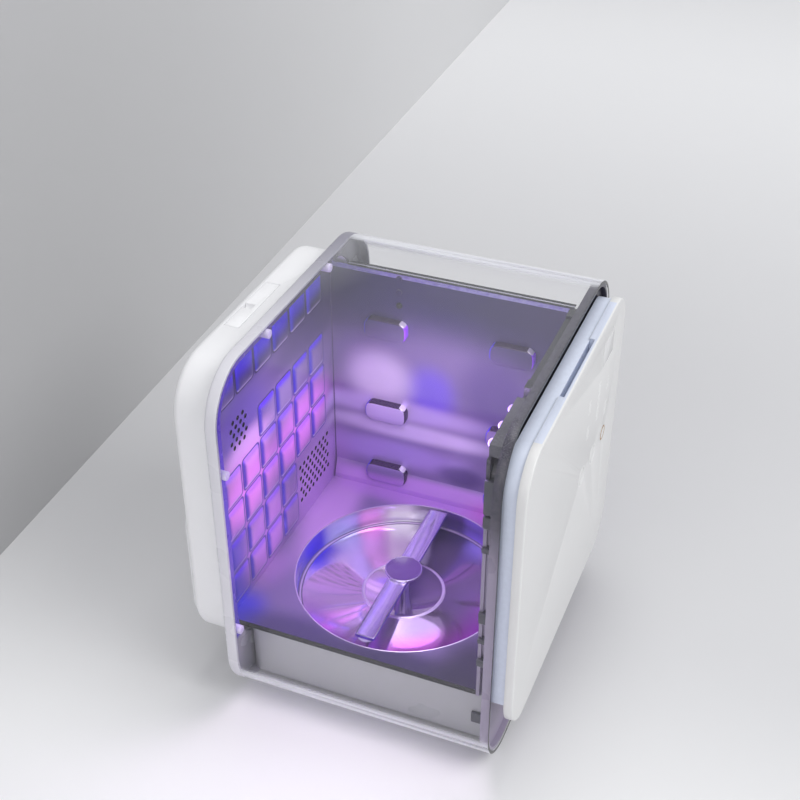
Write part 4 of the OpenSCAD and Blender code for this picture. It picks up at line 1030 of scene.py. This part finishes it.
def make_floor():
    """The sheet with a round basin, a bead round the post and a turned edge."""
    centre = Vector((post.x, post.y, 0))
    pan = block("pan_sheet", (pan_low.x, pan_low.y, z_floor - SHEET),
        (pan_high.x, pan_high.y, z_floor))
    cut_out(pan, rod("basin_hole", centre + mm(0, 0, 50), centre + mm(0, 0, 70),
        BASIN_RADIUS, BASIN_SIDES))
    turn = block("turned_edge", (pan_low.x, pan_low.y, z_floor - SHEET / 2),
        (pan_low.x + SHEET, pan_high.y, z_floor + 5 * MM))
    start_edit(turn)
    pick_edges(lambda at, way: abs(way.y) > 0.9 and at.z > z_floor + 4 * MM)
    bevel(0.3, 2)
    end_edit()
    basin = primitive("basin", bpy.ops.mesh.primitive_circle_add, vertices=BASIN_SIDES,
        radius=BASIN_RADIUS + 1.2 * MM, fill_type="NGON",
        location=centre + Vector((0, 0, z_floor + 0.15 * MM)))
    settle()
    start_edit(basin)
    bpy.ops.mesh.select_mode(type="FACE")
    bpy.ops.mesh.select_all(action="SELECT")
    # The lip, the wall, the step at its foot, the flat, the bead and the middle
    inset((0.6, -0.35), (0.4, 0.05), (0.3, 0.75), (0.4, 9.7), (0.4, 9.2), (0.6, 0.8),
        (0.6, 0.25), (0.7, 0.1), (1.6, 0.0), (0.5, 0.15), (0.6, 0.0), (55.9, 0.0),
        (0.6, -0.6), (0.8, -0.4), (0.9, 0.0), (0.8, 0.4), (0.6, 0.6), (31.0, 0.0))
    bpy.ops.mesh.delete(type="FACE")
    end_edit()
    apply_modifier(basin, "SOLIDIFY", thickness=SHEET * 0.9, offset=-1)

    def ring(low, high):
        return lambda at, out: low * MM < math.hypot(at.x - post.x,
            at.y - post.y) < high * MM
    # The slot of each ring in mm: all, then the lip, wall, crease, step, crease and bead; the lip,
    # step and bead take a painted highlight and the creases painted shade
    for number, low, high in ((1, 0, 103), (2, 100.95, 103), (0, 99.6, 100.95),
            (3, 98.4, 99.6), (2, 96.4, 98.4), (3, 95.4, 96.4), (2, 36.5, 39.9)):
        give_faces(basin, number, ring(low, high))
    dress(basin, [slope_steel, flat_steel, basin_rim_painted_highlight, pressed_line_painted_shade],
        angle=50)
    rename(join(pan, turn), "floor_pan_sheet")
    # The turned edge's outer face takes painted shade, the dark gap above the base
    give_faces(pan, 1, lambda at, out: at.x < pan_low.x + 0.1 * MM
        or abs(out.x) > 0.8 and at.x < pan_low.x + 1 * MM)
    dress(pan, [floor_steel, painted_dark_edge], ["floor_pan"], angle=50)


# ---- The reflector bar ----

def make_bar():
    """The mirror-bright bar in a painted lilac, with painted violet light on its sides, a painted
    highlight along its top edges, and a shallow groove down the middle.
    """
    bar = block("mirror_bar", bar_low, bar_high)
    start_edit(bar)
    pick_edges(lambda at, way: abs(way.z) > 0.9)
    bevel(1.5, 3)
    pick_faces(lambda at, out: out.z > 0.9)
    inset((1.1, 0), (0.5, 0.25))
    end_edit()
    ease_edges(bar, 0.25 * MM, 2, 40)
    # Painted violet light on the sides, and a painted highlight on the upper bevels and along the
    # top's long edges
    give_faces(bar, 1, lambda at, out: abs(out.z) < 0.6)
    give_faces(bar, 2, lambda at, out: 0.3 < out.z < 0.95
        or out.z > 0.95 and abs(at.y - post.y) > (bar_high.y - bar_low.y) / 2 - 1 * MM)
    dress(bar, [mirror_steel, bar_side_painted_violet_light, painted_rim_highlight], ["reflector_bar"],
        "reflector")


def make_cap():
    """The flat cap with a turned rim in a painted highlight."""
    low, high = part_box("hub_cap")
    middle = (low + high) / 2
    radius = (high.x - low.x) / 2
    cap = rod("cap_disc", (middle.x, middle.y, low.z), (middle.x, middle.y, high.z), radius, 72)
    start_edit(cap)
    pick_edges(lambda place, way: place.z > high.z - 0.1 * MM)
    bevel(0.6, 3)
    pick_faces(lambda place, normal: normal.z > 0.99 and place.z > high.z - 0.1 * MM)
    inset((0.5, 0), (0.3, 0.25), (9, 0), (0.4, 0.15))
    end_edit()
    # The rim takes a painted highlight
    give_faces(cap, 1, lambda place, normal: math.hypot(place.x - middle.x,
        place.y - middle.y) > radius - 1.1 * MM and place.z > low.z + 0.2 * MM)
    dress(cap, [cap_violet, painted_rim_highlight], ["hub_cap"], "reflector", 50)


def make_post():
    """The bright post: a tube with a flared foot and a turned line under the bar."""
    tube = rod("post_tube", (post.x, post.y, post_low.z), (post.x, post.y, post_high.z),
        (post_high.x - post_low.x) / 2, 72)
    start_edit(tube)
    slice_across(Z, *(post_low.z + height * MM for height in (1.2, 2.4, 15.5, 16.1, 16.7)))
    pick_edges(lambda at, way: abs(way.z) < 0.1
        and abs(at.z - post_low.z - 16.1 * MM) < 0.1 * MM)
    resize((0.95, 0.95, 1), (post.x, post.y, 0))
    pick_edges(lambda at, way: abs(way.z) < 0.1
        and post_low.z + 2 * MM < at.z < post_high.z + 1 * MM)
    resize((0.97, 0.97, 1), (post.x, post.y, 0))
    end_edit()
    cut_out(tube, rod("bore", (post.x, post.y, post_low.z - 2 * MM),
        (post.x, post.y, post_high.z + 2 * MM), 4.55 * MM, 64))
    dress(tube, post_steel, ["hub_post"], angle=40)


# ---- The door ----

# How far the marks and the keys stand off the slab's face, and the keys' radius
PROUD = 0.12 * MM
KEY_RADIUS = 7 * MM


def make_door_slab():
    """The slab with its soft front edge, its finger recess and its holes."""
    slab = copy_of_node("door_slab_shell", "door_slab")
    start_edit(slab)
    pick_edges(lambda at, way: at.y < slab_low.y + 0.05 * MM and not (
        10 * MM < at.x < 112 * MM and 185 * MM < at.z < 313 * MM))
    bevel(1.5, 4)
    # The face lies this little behind the keys and the marks
    pick_edges(lambda at, way: at.y < slab_low.y + 0.05 * MM)
    move((0, PROUD, 0))
    end_edit()
    ease_edges(slab, 0.25 * MM, 2, 45)
    give_faces(slab, 1, lambda at, out: at.z > slab_high.z - 13 * MM
        and abs(at.x) < 45.5 * MM and at.y > slab_low.y + 3 * MM)
    dress(slab, [slab_white, band_white], ["door_slab"], "door")


def make_door_band():
    """The pale liner band behind the slab."""
    band = eased_node("door_band", "door_liner", 0.8 * MM, 3, 40)
    dress(band, band_white, ["door_liner"], "door")


def make_key(name, node, body, ringed):
    """A round key with a rim and a shallow dish."""
    low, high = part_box(node)
    x, z = (low.x + high.x) / 2, (low.z + high.z) / 2
    y = low.y
    key = rod(name, (x, y + 2.5 * MM, z), (x, y, z), KEY_RADIUS, 64)
    start_edit(key)
    pick_edges(lambda at, way: at.y < y + 0.1 * MM and abs(way.y) < 0.5)
    bevel(0.4, 3)
    pick_faces(lambda at, out: out.y < -0.99 and at.y < y + 0.05 * MM)
    inset((0.7, 0), (0.25, 0.18), (2, 0.12), (2, 0.06))
    pick_faces(lambda at, out: out.y > 0.9)
    move_on((0, 0.05 * MM, 0))
    resize((1.2, 1, 1.2), (x, y, z))
    move_on((0, 0.6 * MM, 0))
    inset((6.6, 0))
    move_on((0, high.y - y - 3.15 * MM, 0))
    end_edit()
    if ringed:
        give_faces(key, 1, lambda at, out: at.y < y + 1.2 * MM
            and math.hypot(at.x - x, at.z - z) > 5.7 * MM)
    dress(key, [key_white, bronze_ring], [node], body)


def flat_ring(x, z, outer, inner):
    """A thin flat ring on the slab, by its middle and radii in mm."""
    x, y, z = x * MM, slab_low.y + PROUD, z * MM
    ring = rod("mark", (x, y, z), (x, y - PROUD, z), outer * MM, 40)
    cut_out(ring, rod("ring_bore", (x, y + 1 * MM, z), (x, y - 1 * MM, z), inner * MM, 40))
    return ring


def flat_bar(x, z, wide, high, out, radius, segments):
    """A thin flat bar on the slab, by its middle, half sizes, height and corners in mm."""
    y = slab_low.y + PROUD
    return rounded_block("mark", ((x - wide) * MM, y - out * MM, (z - high) * MM),
        ((x + wide) * MM, y + 0.05 * MM, (z + high) * MM), Y, radius * MM, segments)


def make_marks():
    """Plain generic marks above the keys: rings and bars, a little paler than the slab."""
    marks = []
    for x, zs in ((36, (267, 241)), (67, (267, 254, 241)), (98, (255, 228))):
        for z in zs:
            marks.append(flat_ring(x, z, 3.2, 2.6))
            for step in (-5.625, 5.625):
                marks.append(flat_bar(x, z + step, 3.5, 0.35, 0.1, 0.3, 3))
    marks += [flat_ring(x, 200, 9.3, 8.9) for x in (29, 63.5)]
    band = rename(join(*marks), "panel_marks")
    dress(band, mark_white, body="door")
    # Two digits of seven segments each
    digits = []
    middle = (window_low + window_high) / 2 / MM
    for x in (middle.x - 6.5, middle.x + 6.5):
        digits += [flat_bar(x, middle.z + up, 3, 0.6, 0.06, 0.5, 2) for up in (-8, 0, 8)]
        digits += [flat_bar(x + side, middle.z + up, 0.6, 3, 0.06, 0.5, 2)
            for side in (-4, 4) for up in (-4, 4)]
    shown = rename(join(*digits), "display_segments")
    dress(shown, mark_grey, body="door")


# ---- The filter ----

PLEATS = 40


def make_filter_pad():
    """The pleated filter paper in its tray."""
    pad = block("pleated_pad", pad_low, pad_high)
    start_edit(pad)
    pick_edges(lambda at, way: abs(way.x) > 0.9)
    bpy.ops.mesh.subdivide(number_cuts=PLEATS - 1)
    pleat = (pad_high.x - pad_low.x) / PLEATS
    mesh = bmesh.from_edit_mesh(pad.data)
    for vertex in mesh.verts:
        step = round((vertex.co.x - pad_low.x) / pleat)
        if 0 < step < PLEATS:
            vertex.co.y += (0.9 if step % 2 else -0.9) * MM
    bmesh.update_edit_mesh(pad.data)
    end_edit()
    dress(pad, filter_paper, ["filter_pad"], "air_filter", 20)


make_wrap()
make_rim()
make_cover()
make_screws()
make_back_wall()
make_vent_felts()
make_side_wall()
make_floor()
make_bar()
make_cap()
make_post()
make_door_slab()
make_door_band()
make_key("power_key_cap", "power_button", "power_key", True)
make_key("mode_key_cap", "mode_button", "mode_key", False)
make_key("start_key_cap", "start_button", "start_key", False)
make_marks()
make_filter_pad()

# Nodes whose shape is right: each gets its edges eased by this width in mm, and its finish
EASED = [
    ("grille_plate", "rear_grille", "cabinet", 0.8, grille_white, "white_plastic"),
    ("rim_pegs", "locating_pegs", "cabinet", 0.7, peg_white, "white_plastic"),
    ("frame_ring", "front_frame", "cabinet", 0.5, frame_grey, "grey_plastic"),
    ("frame_clip_set", "frame_clips", "cabinet", 0.5, clip_dark, "dark_plastic"),
    ("frame_ledge", "top_ledge", "cabinet", 0.5, ledge_dark, "dark_plastic"),
    ("seal_ring", "door_seal", "cabinet", 0.9, seal_rubber, "dark_rubber"),
    ("hinge_bracket_pair", "hinge_brackets", "cabinet", 0.3, bright_steel, "bright_steel"),
    ("hinge_lug_pair", "hinge_lugs", "door", 0.3, bright_steel, "bright_steel"),
    ("lamp_housing", "uv_lamp_bar", "cabinet", 0.6, lamp_grey, "satin_aluminium"),
    ("sensor_tip", "temp_sensor", "cabinet", 0.5, part_black, "black_plastic"),
    ("base_tub", "base_box", "cabinet", 1.2, base_grey, "base_grey"),
    ("bar_pad_pair", "bar_pads", "reflector", 0.5, pad_rubber, "pale_rubber"),
    ("filter_frame", "filter_tray", "air_filter", 0.5, cover_white, "white_plastic"),
    ("inlet_socket", "power_inlet", "cabinet", 0.5, part_black, "black_plastic"),
    ("foot_set", "feet", "cabinet", 1.0, foot_rubber, "dark_rubber"),
    ("window_pane", "display_window", "door", 0.3, window_white, "window_white"),
    ("switch_case", "door_switch", "cabinet", 0.4, part_black, "black_plastic"),
]
for name, node, body, width, finish, slot in EASED:
    dress(eased_node(name, node, width * MM), finish, [node], body)

# Nodes that stay as they are and get a better finish
FINISHES = {
    "hinge_pins": bright_steel, "frame_magnets": magnet_grey, "door_magnets": magnet_grey,
    "switch_plunger": plunger_red, "uv_lenses": violet_lens, "post_bushing": bronze,
    "drive_motor": bright_steel, "drive_shaft": bright_steel, "fan_housing": part_black,
    "fan_impeller": part_black, "heater_block": satin_aluminium, "filter_guide": cover_white,
    "power_board": board_green, "board_posts": bronze, "control_board": board_green,
    "key_switches": part_black,
}
for node, finish in FINISHES.items():
    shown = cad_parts[node]
    for slot in shown.material_slots:
        slot.material = finish


# ---- The floor, the backdrop, the light and the camera ----

def stage_material(name, shade, painted_falls):
    """A plain matt surface, with painted falls of light and shade in its tone."""
    material, tree, shader = new_material(name)
    shade = colour(*shade)
    grained = use_group(tree, GRAIN, Grain_Size=2.0, Cloud_Size=400.0)
    surface = mixed(tree, span(tree, grained["Tone"], 0.3, 0.7, 0.0, 0.3), shade,
        tuple(level * 0.97 for level in shade[:3]) + (1,))
    feed(shader, "Base Color", faded(tree, surface, painted_falls))
    shader.inputs["Roughness"].default_value = 0.9
    shader.inputs["Specular IOR Level"].default_value = 0.1
    return material, tree, shader


def make_stage():
    """The plain floor and the backdrop."""
    ground = primitive("ground", bpy.ops.mesh.primitive_plane_add, size=8)
    # The ground is painted lighter far off and towards the near side: painted light
    ground.data.materials.append(stage_material("ground", (210, 210, 212),
        [(X, 400, 1800, (252, 252, 253)), (X, 100, -300, (240, 240, 241))])[0])
    # The backdrop stands behind the cover; it is clear from behind, for the rear views
    wall = primitive("backdrop", bpy.ops.mesh.primitive_plane_add, size=1,
        location=(1, 0.458, 1.5), rotation=(math.radians(90), 0, math.radians(2.18)))
    wall.scale = (8, 3, 1)
    settle()
    # The backdrop is painted darker towards the near end: painted shade
    material, tree, shader = stage_material("backdrop", (232, 232, 233),
        [(X, 1500, -150, (186, 186, 187))])
    behind = add(tree, "NewGeometry").outputs["Backfacing"]
    clear = add(tree, "BsdfTransparent")
    blend = add(tree, "MixShader", None,
        {0: behind, 1: shader.outputs[0], 2: clear.outputs[0]})
    feed(tree.nodes["Material Output"], "Surface", blend.outputs[0])
    wall.data.materials.append(material)


def area_light(name, place, aim, size, power, shade=(1, 1, 1)):
    """A round soft light at this place, turned to its aim."""
    data = bpy.data.lights.new(name, "AREA")
    data.shape, data.size, data.energy, data.color = "DISK", size, power, shade
    light = new_object(name, data)
    light.location = place
    light.rotation_euler = (Vector(aim) - Vector(place)).to_track_quat("-Z", "Y").to_euler()
    return light


def make_light():
    """The studio light, the three small lamps and the glow inside the cavity."""
    world = bpy.data.worlds.new("Studio")
    bpy.context.scene.world = world
    world.use_nodes = True
    tree = world.node_tree
    tree.nodes.clear()
    ray = add(tree, "LightPath")
    seen = maths(tree, "MAXIMUM", ray.outputs["Is Camera Ray"],
        maths(tree, "MAXIMUM", ray.outputs["Is Glossy Ray"], ray.outputs["Is Transmission Ray"]))
    strength = span(tree, seen, 0.0, 1.0, 0.62, 0.86)
    back = add(tree, "Background", None, {0: (0.97, 0.98, 1.0, 1), 1: strength})
    out = add(tree, "OutputWorld")
    tree.links.new(back.outputs[0], out.inputs[0])
    aim = (0, 0, 0.17)
    area_light("key", (-0.2, -1.5, 1.9), aim, 1.4, 20)
    area_light("fill", (-1.6, 0.2, 1.0), aim, 1.2, 7)
    area_light("top", (0.5, 0.1, 2.2), aim, 1.2, 9)
    low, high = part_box("uv_lenses")
    for x in (low.x + 4 * MM, (low.x + high.x) / 2, high.x - 4 * MM):
        data = bpy.data.lights.new("lamp", "POINT")
        data.energy, data.color, data.shadow_soft_size = 0.05, (0.6, 0.38, 1.0), 0.01
        new_object("lamp", data).location = (x, high.y + 14 * MM, low.z - 8 * MM)
    glow = area_light("cavity glow", mm(-10, -10, 280), mm(0, 10, 60), 0.14, 0.45,
        (0.95, 0.76, 1.0))
    glow.visible_glossy = False


def make_camera():
    """The camera that was solved from the photograph."""
    data = bpy.data.cameras.new("Camera")
    data.lens, data.sensor_width = 59.26, 36
    data.clip_start, data.clip_end = 0.02, 30
    camera = new_object("Camera", data)
    camera.location = (-0.8552, -0.3428, 0.8952)
    camera.rotation_euler = Vector((0.7625, 0.3089, -0.5685)).to_track_quat("-Z", "Y").to_euler()
    bpy.context.scene.camera = camera


make_stage()
make_light()
make_camera()
bpy.context.scene.view_settings.view_transform = "Standard"
